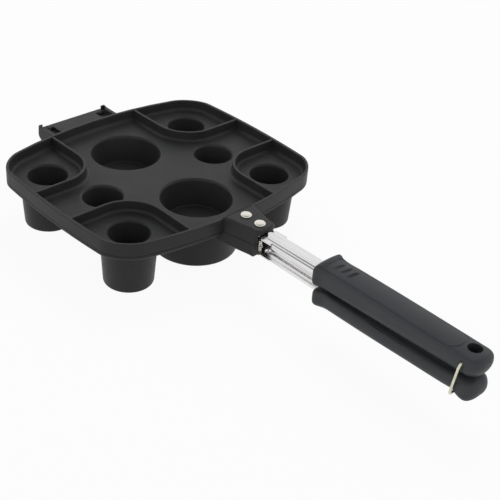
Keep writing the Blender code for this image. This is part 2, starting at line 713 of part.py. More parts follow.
def make_upper_pan():
    """The upper casting, with the tools that shape it."""
    step_inset = RIM_WALL + STEP_CLEARANCE
    inner = RIM_WALL + RIM_DRAFT
    levels = [(step_inset, -UPPER_FLOOR), (step_inset, UPPER_RIM_BOTTOM), (0.0, UPPER_RIM_BOTTOM)]
    levels += [(RIM_EDGE * wide, RIM_HEIGHT - RIM_EDGE * high) for wide, high in EDGE_SHARES]
    levels += [(RIM_WALL - RIM_EDGE * wide, RIM_HEIGHT - RIM_EDGE * high) for wide, high in EDGE_SHARES[::-1]]
    levels += [(inner + FLOOR_COVE * wide, FLOOR_COVE * high) for wide, high in COVE_SHARES[::-1]]
    pan = loft("upper_pan", [raised(pan_outline(inset), height) for inset, height in levels])
    tools = []
    for kind, top_radius, foot_radius, places, segments in RECESS_KINDS:
        plug = turned(kind + "_plug", plug_profile(top_radius, foot_radius), segments)
        plugs = repeated(kind + "_plugs", plug, places)
        hollow = turned(kind + "_recess", recess_profile(top_radius, foot_radius), segments)
        hollows = repeated(kind + "_recesses", hollow, places)
        boolean(pan, plugs, "UNION")
        boolean(pan, hollows, "DIFFERENCE")
        tools += [plugs, hollows]
    for number, (x, y) in enumerate(CORNER_PLACES, 1):
        wall = divider("divider_%d" % number, math.copysign(1.0, x), math.copysign(1.0, y))
        boolean(pan, wall, "UNION")
        tools.append(wall)
    block = edged_block(
        "upper_lug", lug_outline(PAN_HALF_LENGTH - RIM_WALL / 2, True), UPPER_RIM_BOTTOM, LUG_TOP
    )
    channel = box(
        "upper_channel",
        (PAN_HALF_LENGTH + LUG_CHANNEL_START, -LUG_CHANNEL_HALF_WIDTH, UPPER_RIM_BOTTOM - OVERRUN),
        (LUG_END + OVERRUN, LUG_CHANNEL_HALF_WIDTH, LUG_ROOF_BOTTOM),
    )
    tongue_room = box(
        "tongue_room",
        (LUG_END, -LUG_ROOT_HALF_WIDTH, UPPER_RIM_BOTTOM - OVERRUN),
        (LUG_END + LUG_TONGUE_LENGTH + OVERRUN, LUG_ROOT_HALF_WIDTH, LUG_ROOF_BOTTOM),
    )
    boolean(pan, block, "UNION")
    boolean(pan, channel, "DIFFERENCE")
    boolean(pan, tongue_room, "DIFFERENCE")
    tools += [block, channel, tongue_room]
    for tool in (hinge_plate(), root_web()):
        boolean(pan, tool, "UNION")
        tools.append(tool)
    for number, sy in enumerate((1, -1), 1):
        ends = sorted((sy * (PLATE_HALF_WIDTH - PIN_ROOT_LENGTH), sy * PIN_END))
        pin = cylinder(
            "hinge_pin_%d" % number, PIN_RADIUS, *ends, (HINGE_X, HINGE_Z), PIN_SEGMENTS, "Y"
        )
        boolean(pan, pin, "UNION")
        tools.append(pin)
    for number, x in enumerate(rivet_places(0.0), 1):
        tools.append(rivet_hole(pan, "upper_rivet_hole_%d" % number, x, 0.0, LUG_TOP))
    return pan, tools


def rivet_hole(item, name, x, low, high):
    """A clearance hole for a rivet through a lug."""
    hole = cylinder(
        name, RIVET_SHAFT_RADIUS + FIT_GAP, low - OVERRUN, high + OVERRUN, (x, 0.0), RIVET_SEGMENTS
    )
    boolean(item, hole, "DIFFERENCE")
    return hole


def make_lower_pan():
    """The lower casting, with the tools that shape it."""
    levels = [
        (LOWER_BAND + LOWER_BAND_SLOPE, LOWER_FACE - LOWER_FLOOR),
        (LOWER_BAND, LOWER_RIM_BOTTOM),
        (LOWER_RIM_EDGE, LOWER_RIM_BOTTOM),
        (0.0, LOWER_RIM_BOTTOM + LOWER_RIM_EDGE),
        (0.0, LOWER_LIP_TOP),
    ]
    pan = loft("lower_pan", [raised(pan_outline(inset), height) for inset, height in levels])
    tools = []
    for kind, top_radius, foot_radius, places, segments, rise in CUP_KINDS:
        cup = turned(kind + "_cup", cup_profile(top_radius, foot_radius, rise), segments)
        cups = repeated(kind + "_cups", cup, places)
        boolean(pan, cups, "UNION")
        tools.append(cups)
    block = edged_block(
        "lower_lug", lug_outline(PAN_HALF_LENGTH - LUG_GUSSET_LENGTH, False), LOWER_LIP_TOP, LUG_BOTTOM
    )
    channel = box(
        "lower_channel",
        (PAN_HALF_LENGTH + LUG_CHANNEL_START, -LUG_CHANNEL_HALF_WIDTH, LUG_FLOOR_TOP),
        (LUG_END + OVERRUN, LUG_CHANNEL_HALF_WIDTH, LOWER_LIP_TOP + OVERRUN),
    )
    boolean(pan, block, "UNION")
    boolean(pan, channel, "DIFFERENCE")
    tools += [block, channel]
    for number, sy in enumerate((1, -1), 1):
        faces = sorted((sy * EAR_INNER, sy * EAR_OUTER))
        ear = upright_outline("ear_%d" % number, [ear_outline()], *faces)
        boolean(pan, ear, "UNION")
        ends = sorted((sy * (EAR_INNER - OVERRUN), sy * (EAR_OUTER - EAR_SKIN)))
        pocket = upright_outline("pin_pocket_%d" % number, [pocket_outline()], *ends)
        boolean(pan, pocket, "DIFFERENCE")
        tools += [ear, pocket]
    tray = loft(
        "tray", [raised(pan_outline(RIM_WALL), height) for height in (LOWER_FACE, LOWER_LIP_TOP + OVERRUN)]
    )
    boolean(pan, tray, "DIFFERENCE")
    tools.append(tray)
    for kind, top_radius, foot_radius, places, segments, rise in CUP_KINDS:
        hollow = turned(kind + "_hollow", cup_hollow_profile(top_radius, foot_radius, rise), segments)
        hollows = repeated(kind + "_hollows", hollow, places)
        boolean(pan, hollows, "DIFFERENCE")
        tools.append(hollows)
    for number, x in enumerate(rivet_places(LOWER_RIVET_SHIFT), 1):
        tools.append(rivet_hole(pan, "lower_rivet_hole_%d" % number, x, LUG_BOTTOM, LUG_FLOOR_TOP))
    return pan, tools


def rib_rise(x):
    """How high the rib stands over a shank's shoulder at one x: it rises from the lug to the grip."""
    rear_share = min(max((x - LUG_END) / SHANK_FREE_LENGTH, 0.0), 1.0)
    return SHANK_RIB_FRONT_RISE + (SHANK_RIB_REAR_RISE - SHANK_RIB_FRONT_RISE) * rear_share


def shank_section(x, half_width, rib_shares, lip_depth):
    """Half of a shank's outer face at one x, as points from the middle of the rib out to the lip's edge."""
    width_share, rise_share = rib_shares
    rib_top = SHANK_SHOULDER_RISE + rib_rise(x) * rise_share
    rib_half = min(SHANK_RIB_HALF_WIDTH, half_width - SHANK_EDGE - SHANK_RIB_SLOPE) * width_share
    return [
        (x, 0.0, rib_top),
        (x, rib_half - SHANK_RIB_SLOPE, rib_top),
        (x, rib_half, SHANK_SHOULDER_RISE),
        (x, half_width - SHANK_EDGE, SHANK_SHOULDER_RISE),
        (x, half_width, SHANK_SHOULDER_RISE - SHANK_EDGE),
        (x, half_width, SHANK_SHOULDER_RISE - lip_depth),
    ]


def make_shank(name, side):
    """A pressed shank, as an open half surface mirrored and thickened; side 1 is the upper one, -1 the lower."""
    start = LUG_END - TANG_IN_LUG
    neck_end = LUG_END + FIT_GAP
    wide = neck_end + SHANK_NECK_TAPER
    rib_start = LUG_END + SHANK_RIB_REACH
    lip_start = LUG_END + SHANK_LIP_REACH
    end = GRIP_START + TANG_IN_GRIP
    stations = [
        (start, SHANK_NECK_HALF_WIDTH, RIB_NONE_SHARES, SHANK_LIP_STUB),
        (neck_end, SHANK_NECK_HALF_WIDTH, RIB_NONE_SHARES, SHANK_LIP_STUB),
        (wide, SHANK_HALF_WIDTH, RIB_NONE_SHARES, SHANK_LIP_STUB),
        (rib_start, SHANK_HALF_WIDTH, RIB_NONE_SHARES, SHANK_LIP_STUB),
        (rib_start + SHANK_RIB_SLOPE, SHANK_HALF_WIDTH, RIB_PART_SHARES, SHANK_LIP_STUB),
        (rib_start + SHANK_RIB_HALF_WIDTH / 2, SHANK_HALF_WIDTH, RIB_FULL_SHARES, SHANK_LIP_STUB),
        (lip_start, SHANK_HALF_WIDTH, RIB_FULL_SHARES, SHANK_LIP_STUB),
        (lip_start + SHANK_LIP_DEPTH, SHANK_HALF_WIDTH, RIB_FULL_SHARES, SHANK_LIP_DEPTH),
        (GRIP_START, SHANK_HALF_WIDTH, RIB_FULL_SHARES, SHANK_LIP_DEPTH),
        (end, SHANK_HALF_WIDTH, RIB_FULL_SHARES, SHANK_LIP_DEPTH),
    ]
    shape = bmesh.new()
    rows = []
    for station in stations:
        section = shank_section(*station)
        rows.append([shape.verts.new((x, y, side * z - PARTING_DROP)) for x, y, z in section])
    for row, following in zip(rows, rows[1:]):
        for i in range(len(row) - 1):
            shape.faces.new((row[i], row[i + 1], following[i + 1], following[i]))
    item = object_from_bmesh(name, shape)
    if item.data.polygons[0].normal.z * side < 0:
        item.data.flip_normals()
    mirror = item.modifiers.new("Mirror", "MIRROR")
    mirror.use_axis = (False, True, False)
    mirror.merge_threshold = MERGE_DISTANCE
    solidify = item.modifiers.new("Thickness", "SOLIDIFY")
    solidify.thickness = SHANK_THICKNESS
    solidify.offset = -1.0
    solidify.use_even_offset = True
    shift = 0.0 if side > 0 else LOWER_RIVET_SHIFT
    level = side * SHANK_SHOULDER_RISE - PARTING_DROP
    tools = []
    for number, x in enumerate(rivet_places(shift), 1):
        hole_name = "%s_hole_%d" % (name, number)
        tools.append(rivet_hole(item, hole_name, x, level - SHANK_THICKNESS, level + SHANK_THICKNESS))
    return item, tools


def rivet(name, x, side, stack):
    """A tubular rivet with a low domed head, a collar behind the stack that it holds, and an open tail."""
    collar = stack + FIT_GAP * 2
    tail = collar + RIVET_COLLAR_HEIGHT + RIVET_TAIL
    profile = [(RIVET_HEAD_RADIUS * wide, RIVET_HEAD_HEIGHT * high) for wide, high in RIVET_HEAD_SHARES]
    profile += [
        (RIVET_SHAFT_RADIUS, 0.0),
        (RIVET_SHAFT_RADIUS, -collar),
        (RIVET_COLLAR_RADIUS, -collar),
        (RIVET_COLLAR_RADIUS, -collar - RIVET_COLLAR_HEIGHT),
        (RIVET_SHAFT_RADIUS, -collar - RIVET_COLLAR_HEIGHT),
        (RIVET_SHAFT_RADIUS, -tail),
        (RIVET_HOLLOW_RADIUS, -tail),
        (RIVET_HOLLOW_RADIUS, RIVET_HOLLOW_DEPTH - tail),
        (0.0, RIVET_HOLLOW_DEPTH - tail),
    ]
    item = turned(name, profile, RIVET_SEGMENTS)
    if side > 0:
        place = Matrix.Translation((x, 0.0, LUG_TOP + FIT_GAP))
    else:
        place = Matrix.Translation((x, 0.0, LUG_BOTTOM - FIT_GAP)) @ Matrix.Rotation(math.pi, 4, "X")
    item.data.transform(place)
    return item


def grip_section(x, half_width, low, high, under_radius, top_radius):
    """One ring of a grip: a rectangle whose lower and upper corners have their own radii, flattened where it's low."""
    points = []
    under_share, top_share = GRIP_HEIGHT_SHARES
    corners = (
        (1, high, -1, top_radius, top_share),
        (-1, high, -1, top_radius, top_share),
        (-1, low, 1, under_radius, under_share),
        (1, low, 1, under_radius, under_share),
    )
    for corner, (sy, z, inward, radius, share) in enumerate(corners):
        radius_y = min(radius, half_width * GRIP_WIDTH_SHARE)
        radius_z = min(radius, (high - low) * share)
        centre_y = sy * (half_width - radius_y)
        centre_z = z + inward * radius_z
        for step in range(GRIP_CORNER_STEPS + 1):
            angle = (corner + step / GRIP_CORNER_STEPS) * math.pi / 2
            points.append((x, centre_y + radius_y * math.cos(angle), centre_z + radius_z * math.sin(angle)))
    return points


def corner_rise(distance, radius):
    """How far a rounded edge draws back from its face, at a distance from the end that it rounds into."""
    if distance >= radius:
        return 0.0
    return radius - math.sqrt(radius ** 2 - (radius - distance) ** 2)


def end_places():
    """The x and the half width of the rings round a grip's end, whose plan has rounded corners."""
    places = []
    for share in END_ANGLE_SHARES:
        angle = share * math.pi / 2
        x = GRIP_END - GRIP_END_RADIUS * (1 - math.sin(angle))
        places.append((x, GRIP_HALF_WIDTH - GRIP_END_RADIUS * (1 - math.cos(angle))))
    return places


def upper_grip_rings():
    """Rings of the upper grip, from its flared front to its round end."""
    face = UPPER_GRIP_GAP - PARTING_DROP
    radii = (UPPER_GRIP_UNDER_RADIUS, UPPER_GRIP_TOP_RADIUS)
    body = GRIP_LENGTH - GRIP_END_RADIUS
    rings = []
    for along, wide, high, low in UPPER_GRIP_SHARES:
        rings.append(grip_section(
            GRIP_START + body * along, GRIP_HALF_WIDTH * wide,
            face + UPPER_GRIP_RISE * low, face + UPPER_GRIP_RISE * high, *radii,
        ))
    for x, half_width in end_places():
        low = face + corner_rise(GRIP_END - x, UPPER_GRIP_UNDER_RADIUS)
        high = face + UPPER_GRIP_RISE - corner_rise(GRIP_END - x, UPPER_GRIP_TOP_RADIUS)
        rings.append(grip_section(x, half_width, low, high, *radii))
    return rings


def heel_height(x):
    """The lowest that the lower grip's heel may reach at one x, so that the bail swings past it."""
    clear = BAIL_REACH - WIRE_RADIUS - HEEL_CLEARANCE
    return BAIL_Z - math.sqrt(max(clear ** 2 - (x - BAIL_X) ** 2, 0.0))


def lower_grip_rings():
    """Rings of the lower grip, from its flared front past the bail to its heel and round end."""
    face = -LOWER_GRIP_GAP - PARTING_DROP
    radii = (LOWER_GRIP_UNDER_RADIUS, LOWER_GRIP_TOP_RADIUS)
    start = GRIP_START + LOWER_GRIP_SETBACK
    bail_x = BAIL_X - BAIL_REACH * math.sin(BAIL_LEAN)
    body = bail_x - start
    rings = []
    for along, wide, high, low in LOWER_GRIP_SHARES:
        rings.append(grip_section(
            start + body * along, GRIP_HALF_WIDTH * wide,
            face - LOWER_GRIP_DROP * low, face - LOWER_GRIP_DROP * high, *radii,
        ))
    notch_low = face - LOWER_GRIP_DROP * LOWER_GRIP_SHARES[-1][3]
    rings.append(grip_section(bail_x + WIRE_RADIUS, GRIP_HALF_WIDTH, notch_low, face, *radii))
    heel_x = bail_x + HEEL_SETBACK
    for x, half_width in [(heel_x, GRIP_HALF_WIDTH)] + end_places():
        low = max(heel_height(x), notch_low - HEEL_DEPTH)
        low += corner_rise(GRIP_END - x, LOWER_GRIP_UNDER_RADIUS)
        high = face - corner_rise(GRIP_END - x, LOWER_GRIP_TOP_RADIUS)
        rings.append(grip_section(x, half_width, low, high, *radii))
    return rings


def tang_socket(name, side):
    """The pocket in a grip that takes a shank's tang."""
    out = SHANK_HALF_WIDTH + FIT_GAP
    near = side * (SHANK_SHOULDER_RISE - SHANK_LIP_DEPTH - FIT_GAP) - PARTING_DROP
    far = side * (SHANK_SHOULDER_RISE + SHANK_RIB_REAR_RISE + FIT_GAP) - PARTING_DROP
    low, high = sorted((near, far))
    return box(
        name, (GRIP_START - OVERRUN, -out, low), (GRIP_START + TANG_IN_GRIP + FIT_GAP, out, high)
    )


def make_upper_grip():
    """The upper grip with its socket, hanging hole, bail holes and finger grooves."""
    grip = loft("upper_grip", upper_grip_rings())
    hang_hole = cylinder(
        "hang_hole", HANG_HOLE_RADIUS, -OVERRUN - PARTING_DROP, UPPER_GRIP_RISE + OVERRUN,
        (HANG_HOLE_X, HANG_HOLE_SIDE), HANG_HOLE_SEGMENTS,
    )
    side = GRIP_HALF_WIDTH + OVERRUN
    bail_hole = cylinder(
        "bail_hole", WIRE_RADIUS + BAIL_HOLE_CLEARANCE, -side, side, (BAIL_X, BAIL_Z), RIVET_SEGMENTS, "Y"
    )
    tools = [tang_socket("upper_socket", 1), hang_hole, bail_hole]
    for number in range(GROOVE_COUNT):
        tools.append(finger_groove(number))
    for tool in tools:
        boolean(grip, tool, "DIFFERENCE")
    return grip, tools


def finger_groove(number):
    """A shallow scoop across the top of the upper grip."""
    shape = bmesh.new()
    bmesh.ops.create_uvsphere(shape, u_segments=GROOVE_SEGMENTS, v_segments=GROOVE_RINGS, radius=1.0)
    scale = Matrix.Diagonal((GROOVE_LENGTH / 2, GROOVE_WIDTH / 2, GROOVE_DEPTH * GROOVE_HEIGHT_SHARE))
    bmesh.ops.transform(shape, matrix=scale.to_4x4(), verts=shape.verts)
    bmesh.ops.rotate(shape, verts=shape.verts, matrix=Matrix.Rotation(GROOVE_SKEW, 3, "Z"))
    top = UPPER_GRIP_GAP - PARTING_DROP + UPPER_GRIP_RISE
    centre = (
        GRIP_START + GROOVE_FIRST + GROOVE_PITCH * number,
        GROOVE_SIDE,
        top + GROOVE_DEPTH * (GROOVE_HEIGHT_SHARE - 1),
    )
    bmesh.ops.translate(shape, verts=shape.verts, vec=centre)
    return object_from_bmesh("finger_groove_%d" % (number + 1), shape)


def make_lower_grip():
    """The lower grip with its socket."""
    grip = loft("lower_grip", lower_grip_rings())
    socket = tang_socket("lower_socket", -1)
    boolean(grip, socket, "DIFFERENCE")
    return grip, [socket]


def bail_half(side):
    """Half of the bail's middle line: an end in the hanging hole, a leg and the start of the bar under the grips."""
    chord = math.sqrt(HANG_HOLE_RADIUS ** 2 - (BAIL_X - HANG_HOLE_X) ** 2)
    end_y = HANG_HOLE_SIDE + side * (chord - BAIL_END_SHOW)
    leg_y = side * (GRIP_HALF_WIDTH + BAIL_SIDE_GAP + WIRE_RADIUS)
    down = Vector((-math.sin(BAIL_LEAN), 0.0, -math.cos(BAIL_LEAN)))
    inner = Vector((BAIL_X, end_y, BAIL_Z))
    upper_corner = Vector((BAIL_X, leg_y, BAIL_Z))
    lower_corner = upper_corner + down * BAIL_REACH
    middle = lower_corner - Vector((0.0, leg_y, 0.0))
    points = [inner]
    points += rounded_corner(inner, upper_corner, lower_corner, BAIL_EYE_BEND)
    points += rounded_corner(upper_corner, lower_corner, middle, BAIL_BEND)
    return points


def rounded_corner(before, corner, after, radius):
    """Points of an arc that rounds a square corner between two straight runs."""
    to_before = (before - corner).normalized()
    to_after = (after - corner).normalized()
    centre = corner + (to_before + to_after) * radius
    points = []
    for step in range(BAIL_BEND_STEPS + 1):
        angle = step / BAIL_BEND_STEPS * math.pi / 2
        points.append(centre - (to_after * math.cos(angle) + to_before * math.sin(angle)) * radius)
    return points


def make_bail():
    """The wire bail."""
    curve = bpy.data.curves.new("wire_bail", "CURVE")
    curve.dimensions = "3D"
    curve.bevel_depth = WIRE_RADIUS
    curve.bevel_resolution = BAIL_ROUND_STEPS
    curve.use_fill_caps = True
    points = bail_half(-1) + bail_half(1)[::-1]
    spline = curve.splines.new("POLY")
    spline.points.add(len(points) - 1)
    for point, place in zip(spline.points, points):
        point.co = (*place, 1.0)
    guide = bpy.data.objects.new("wire_bail_guide", curve)
    bpy.context.scene.collection.objects.link(guide)
    return applied(guide, "wire_bail")


def move_to(item, collection):
    """Put an object in one collection only."""
    for holder in list(item.users_collection):
        holder.objects.unlink(item)
    collection.objects.link(item)


def empty(name, collection, parent, place):
    """An empty at a place in the pan frame, under another empty."""
    frame = bpy.data.objects.new(name, None)
    collection.objects.link(frame)
    frame.empty_display_size = RIM_HEIGHT
    frame["place"] = place
    if parent is None:
        frame.location = (-PART_MIDDLE, 0.0, FOOT_DROP)
    else:
        frame.parent = parent
        frame.location = Vector(place) - Vector(parent["place"])
    return frame


def ride(item, frame):
    """Hang an object drawn in the pan frame on an empty."""
    item.parent = frame
    item.location = -Vector(frame["place"])


def finish(item, frame, collection, coat):
    """Parent, file and colour one finished piece."""
    move_to(item, collection)
    ride(item, frame)
    item.data.materials.clear()
    item.data.materials.append(coat)
    item.data.shade_smooth()
    item.data.set_sharp_from_angle(angle=SMOOTH_ANGLE)


def store_tools(tools, frame, collection):
    """Parent and hide the shapes that cut or join a piece."""
    for tool in tools:
        move_to(tool, collection)
        ride(tool, frame)
        tool.hide_render = True
        tool.display_type = "WIRE"


def main():
    """Build the whole part."""
    clear_scene()
    parts = new_collection("cupcake_maker")
    cutters = new_collection("cutters")
    cast, steel, moulding, aluminium, zinc = [material(*finish_values) for finish_values in FINISHES]

    datum = empty("pan_datum", parts, None, (0.0, 0.0, 0.0))
    hinge = empty("hinge_axis", parts, datum, (HINGE_X, 0.0, HINGE_Z))
    bail_axis = empty("bail_axis", parts, hinge, (BAIL_X, 0.0, BAIL_Z))

    for frame, coat, (item, tools) in (
        (datum, cast, make_lower_pan()),
        (hinge, cast, make_upper_pan()),
        (datum, steel, make_shank("lower_shank", -1)),
        (hinge, steel, make_shank("upper_shank", 1)),
        (datum, moulding, make_lower_grip()),
        (hinge, moulding, make_upper_grip()),
        (bail_axis, zinc, (make_bail(), [])),
    ):
        finish(item, frame, parts, coat)
        store_tools(tools, frame, cutters)
    for side, frame, prefix, shift, plate in (
        (1, hinge, "upper", 0.0, LUG_ROOF),
        (-1, datum, "lower", LOWER_RIVET_SHIFT, LUG_FLOOR),
    ):
        for place, x in zip(("front", "rear"), rivet_places(shift)):
            stack = plate + FIT_GAP + SHANK_THICKNESS
            item = rivet("%s_rivet_%s" % (prefix, place), x, side, stack)
            finish(item, frame, parts, aluminium)


main()
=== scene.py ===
"""The looks of a stovetop cupcake maker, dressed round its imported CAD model.

Lengths are in metres. Shapes are drawn in the pan frame, whose origin is the middle of the upper floor's top
face, with +X along the handles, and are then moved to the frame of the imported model.
"""

import math

import bmesh
import bpy
from mathutils import Matrix, Vector


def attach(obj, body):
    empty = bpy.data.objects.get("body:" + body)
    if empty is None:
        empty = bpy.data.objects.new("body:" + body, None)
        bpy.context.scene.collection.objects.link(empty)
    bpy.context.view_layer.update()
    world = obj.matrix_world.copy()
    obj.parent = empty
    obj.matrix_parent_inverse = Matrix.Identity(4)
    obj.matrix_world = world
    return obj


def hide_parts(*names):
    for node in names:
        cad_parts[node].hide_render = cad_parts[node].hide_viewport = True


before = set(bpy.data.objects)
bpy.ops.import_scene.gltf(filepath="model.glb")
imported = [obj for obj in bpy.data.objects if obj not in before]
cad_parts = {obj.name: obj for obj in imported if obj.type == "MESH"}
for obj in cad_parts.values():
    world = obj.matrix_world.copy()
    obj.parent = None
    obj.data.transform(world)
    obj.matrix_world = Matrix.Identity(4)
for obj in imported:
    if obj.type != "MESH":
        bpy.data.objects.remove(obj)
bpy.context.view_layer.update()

# Both castings: the bowed outline and the rim
PAN_HALF_LENGTH = 0.0935
PAN_HALF_WIDTH = 0.1071
PAN_CORNER_RADIUS = 0.0233
END_BOW_SHARE = 0.175
SIDE_BOW_SHARE = 0.04
RIM_WALL = 0.0029
RIM_DRAFT = 0.0003
RIM_EDGE = 0.0005
SEAM_DROP = 0.0013
MATING_GAP = 0.0004
FIT_GAP = 0.0003

# Upper casting
RIM_HEIGHT = 0.0095
UPPER_FLOOR = 0.0024
FLOOR_COVE = 0.0038
STEP_CLEARANCE = 0.0005
RECESS_DEPTH = 0.0230
PLUG_WALL = 0.0024
MOUTH_FILLET = 0.0023
RECESS_FILLET = 0.0014
SMALL_RECESS_TOP_RADIUS = 0.0160
SMALL_RECESS_FOOT_RADIUS = 0.0123
LARGE_RECESS_TOP_RADIUS = 0.0288
LARGE_RECESS_FOOT_RADIUS = 0.0248

# Curved dividers on the upper floor, round the corner cups
DIVIDER_RADIUS = 0.0297
DIVIDER_THICKNESS = 0.0023
DIVIDER_DROP = 0.0003
DIVIDER_COVE = 0.0030

# Lower casting
LOWER_FLOOR = 0.0026
LOWER_RIM_DEPTH = 0.0030
LOWER_RIM_EDGE = 0.0008
LOWER_BAND = 0.0045
LOWER_BAND_SLOPE = 0.0020
FOOT_DROP = 0.0429
MIDDLE_FOOT_RISE = 0.0075
CUP_WALL = 0.0024
CUP_FILLET = 0.0021
SMALL_CUP_TOP_RADIUS = 0.0220
SMALL_CUP_FOOT_RADIUS = 0.0196
LARGE_CUP_TOP_RADIUS = 0.0370
LARGE_CUP_FOOT_RADIUS = 0.0347

# Places of the cups
CORNER_CUP_X = 0.0526
CORNER_CUP_Y = 0.0727
MIDDLE_CUP_Y = 0.0577
LARGE_CUP_X = 0.0450

# Shanks: the parting plane between the handles, and one half's pressed section above it
PARTING_DROP = 0.0002
SHANK_SHOULDER_RISE = 0.0072
SHANK_LIP_DEPTH = 0.0026
SHANK_LIP_STUB = 0.0003
SHANK_RIB_FRONT_RISE = 0.0022
SHANK_RIB_REAR_RISE = 0.0034
SHANK_RIB_HALF_WIDTH = 0.0036
SHANK_RIB_SLOPE = 0.0007
SHANK_RIB_BLEND = 0.0007
SHANK_TILT = 0.0012
SHANK_FLAT_HALF_WIDTH = 0.0060
SHANK_EDGE_HALF_WIDTH = 0.0084
SHANK_BEND_RADIUS = 0.0020
SHANK_LIP_SLANT = math.radians(74.0)
SHANK_LOWER_SLANT = math.radians(14.0)
SHANK_LIP_FIRST_DEPTH = 0.0016
SHANK_LIP_RUN = 0.0300
SHANK_LIP_CORNER = 0.0022
SHANK_FLAT_STEPS = 34
SHANK_BEND_STEPS = 6
SHANK_STATION_COUNTS = (1, 7, 22, 12, 10, 20)
SHEET_BEVEL = 0.00022
SHEET_BEVEL_SEGMENTS = 2
SHEET_BEVEL_ANGLE = math.radians(50.0)
SHANK_HALF_WIDTH = 0.0091
SHANK_THICKNESS = 0.0010
SHANK_NECK_HALF_WIDTH = 0.0055
SHANK_NECK_TAPER = 0.0060
SHANK_LIP_REACH = 0.0150
SHANK_RIB_REACH = 0.0036
SHANK_FREE_LENGTH = 0.0624
TANG_IN_LUG = 0.0240
TANG_IN_GRIP = 0.0980

# Riveting lugs at the front of both castings
LUG_ROOT_HALF_WIDTH = 0.0152
LUG_TAPER_REACH = 0.0235
LUG_NECK_HALF_WIDTH = 0.0101
LUG_REACH = 0.0279
LUG_END_HALF_WIDTH = 0.0098
LUG_TONGUE_LENGTH = 0.0033
LUG_ROOF = 0.0043
LUG_FLOOR = 0.0046
LUG_EDGE = 0.0018
LUG_CHANNEL_START = 0.0020
LUG_CHANNEL_HALF_WIDTH = 0.0059
LUG_GUSSET_LENGTH = 0.0129

# Rivets
RIVET_FRONT_REACH = 0.0079
RIVET_SPACING = 0.0150
LOWER_RIVET_SHIFT = 0.0014
RIVET_HEAD_RADIUS = 0.0043
RIVET_HEAD_HEIGHT = 0.0011
RIVET_SHAFT_RADIUS = 0.0019
RIVET_COLLAR_RADIUS = 0.0027
RIVET_COLLAR_HEIGHT = 0.0008
RIVET_TAIL = 0.0034
RIVET_HOLLOW_RADIUS = 0.0011
RIVET_HOLLOW_DEPTH = 0.0030

# Hinge: the upper casting's plate with its pins, the lower casting's ears with their open-topped pockets
HINGE_REACH = 0.0248
HINGE_DROP = 0.0019
PIN_RADIUS = 0.0019
PIN_CLEARANCE = 0.00035
PIN_ROOT_LENGTH = 0.0008
PLATE_HALF_WIDTH = 0.0258
PLATE_ROOT_HALF_WIDTH = 0.0306
PLATE_THICKNESS = 0.0039
PLATE_OVERHANG = 0.0040
PLATE_BAR_AHEAD = 0.0008
PLATE_WAIST_HALF_WIDTH = 0.0222
PLATE_FLOOR_THICKNESS = 0.0010
HINGE_RUN_GAP = 0.0006
ROOT_WEB_HEIGHT = 0.0030
ROOT_WEB_LENGTH = 0.0042
ROOT_WEB_SINK = 0.0003
EAR_THICKNESS = 0.0032
EAR_SKIN = 0.0009
EAR_RADIUS = 0.0053
EAR_CENTRE_AHEAD = 0.0011
EAR_CENTRE_DROP = 0.0025
EAR_HORN_BACK = 0.0036
EAR_HORN_RISE = 0.0049
EAR_TIP_BACK = 0.0021
EAR_TIP_RISE = 0.0052
EAR_SHOULDER_AHEAD = 0.0011
EAR_TOP_RISE = 0.0044
EAR_WALL_CLEARANCE = 0.0013
EAR_ROOT_SINK = 0.0003

# Grips, measured from their fronts
GRIP_LENGTH = 0.1412
GRIP_HALF_WIDTH = 0.0117
GRIP_END_RADIUS = 0.0090
UPPER_GRIP_RISE = 0.0171
UPPER_GRIP_GAP = 0.0002
UPPER_GRIP_TOP_RADIUS = 0.0039
UPPER_GRIP_CROWN = 0.0007
UPPER_UNDER_FRONT_RADIUS = 0.0034
UPPER_UNDER_END_RADIUS = 0.0116
UPPER_END_UNDER_RADIUS = 0.0110
LOWER_GRIP_SETBACK = 0.0020
LOWER_GRIP_GAP = 0.0009
LOWER_GRIP_DROP = 0.0138
LOWER_GRIP_TOP_RADIUS = 0.0030
LOWER_TOP_END_RADIUS = 0.0060
LOWER_GRIP_UNDER_RADIUS = 0.0052
HEEL_UNDER_RADIUS = 0.0040
HANG_HOLE_RADIUS = 0.0052
HANG_HOLE_FROM_END = 0.0129
HANG_HOLE_SIDE = 0.0018
PAD_FRONT = 0.0062
PAD_BEFORE_HOLE = 0.0072
PAD_HALF_WIDTH = 0.0101
PAD_FRONT_RADIUS = 0.0040
PAD_REAR_RADIUS = 0.0090
PAD_TUBE_RADIUS = 0.0009
PAD_CREASE_DEPTH = 0.00045
PAD_STEP = 0.0012
PAD_STEPS = 10
GROOVE_LENGTH = 0.0034
GROOVE_WIDTH = 0.0128
GROOVE_DEPTH = 0.0008
GROOVE_FIRST = 0.0129
GROOVE_PITCH = 0.0065
GROOVE_COUNT = 3
GROOVE_SIDE = -0.0010
GROOVE_SKEW = math.radians(-8.0)

# Wire bail
WIRE_RADIUS = 0.00095
BAIL_FROM_END = 0.0124
BAIL_RISE = 0.0128
BAIL_REACH = 0.0271
BAIL_LEAN = math.radians(5.8)
BAIL_BEND = 0.0026
BAIL_EYE_BEND = 0.0036
BAIL_SIDE_GAP = 0.0010
BAIL_END_SHOW = 0.0007
BAIL_HOLE_CLEARANCE = 0.00035
HEEL_END_RADIUS = 0.0062

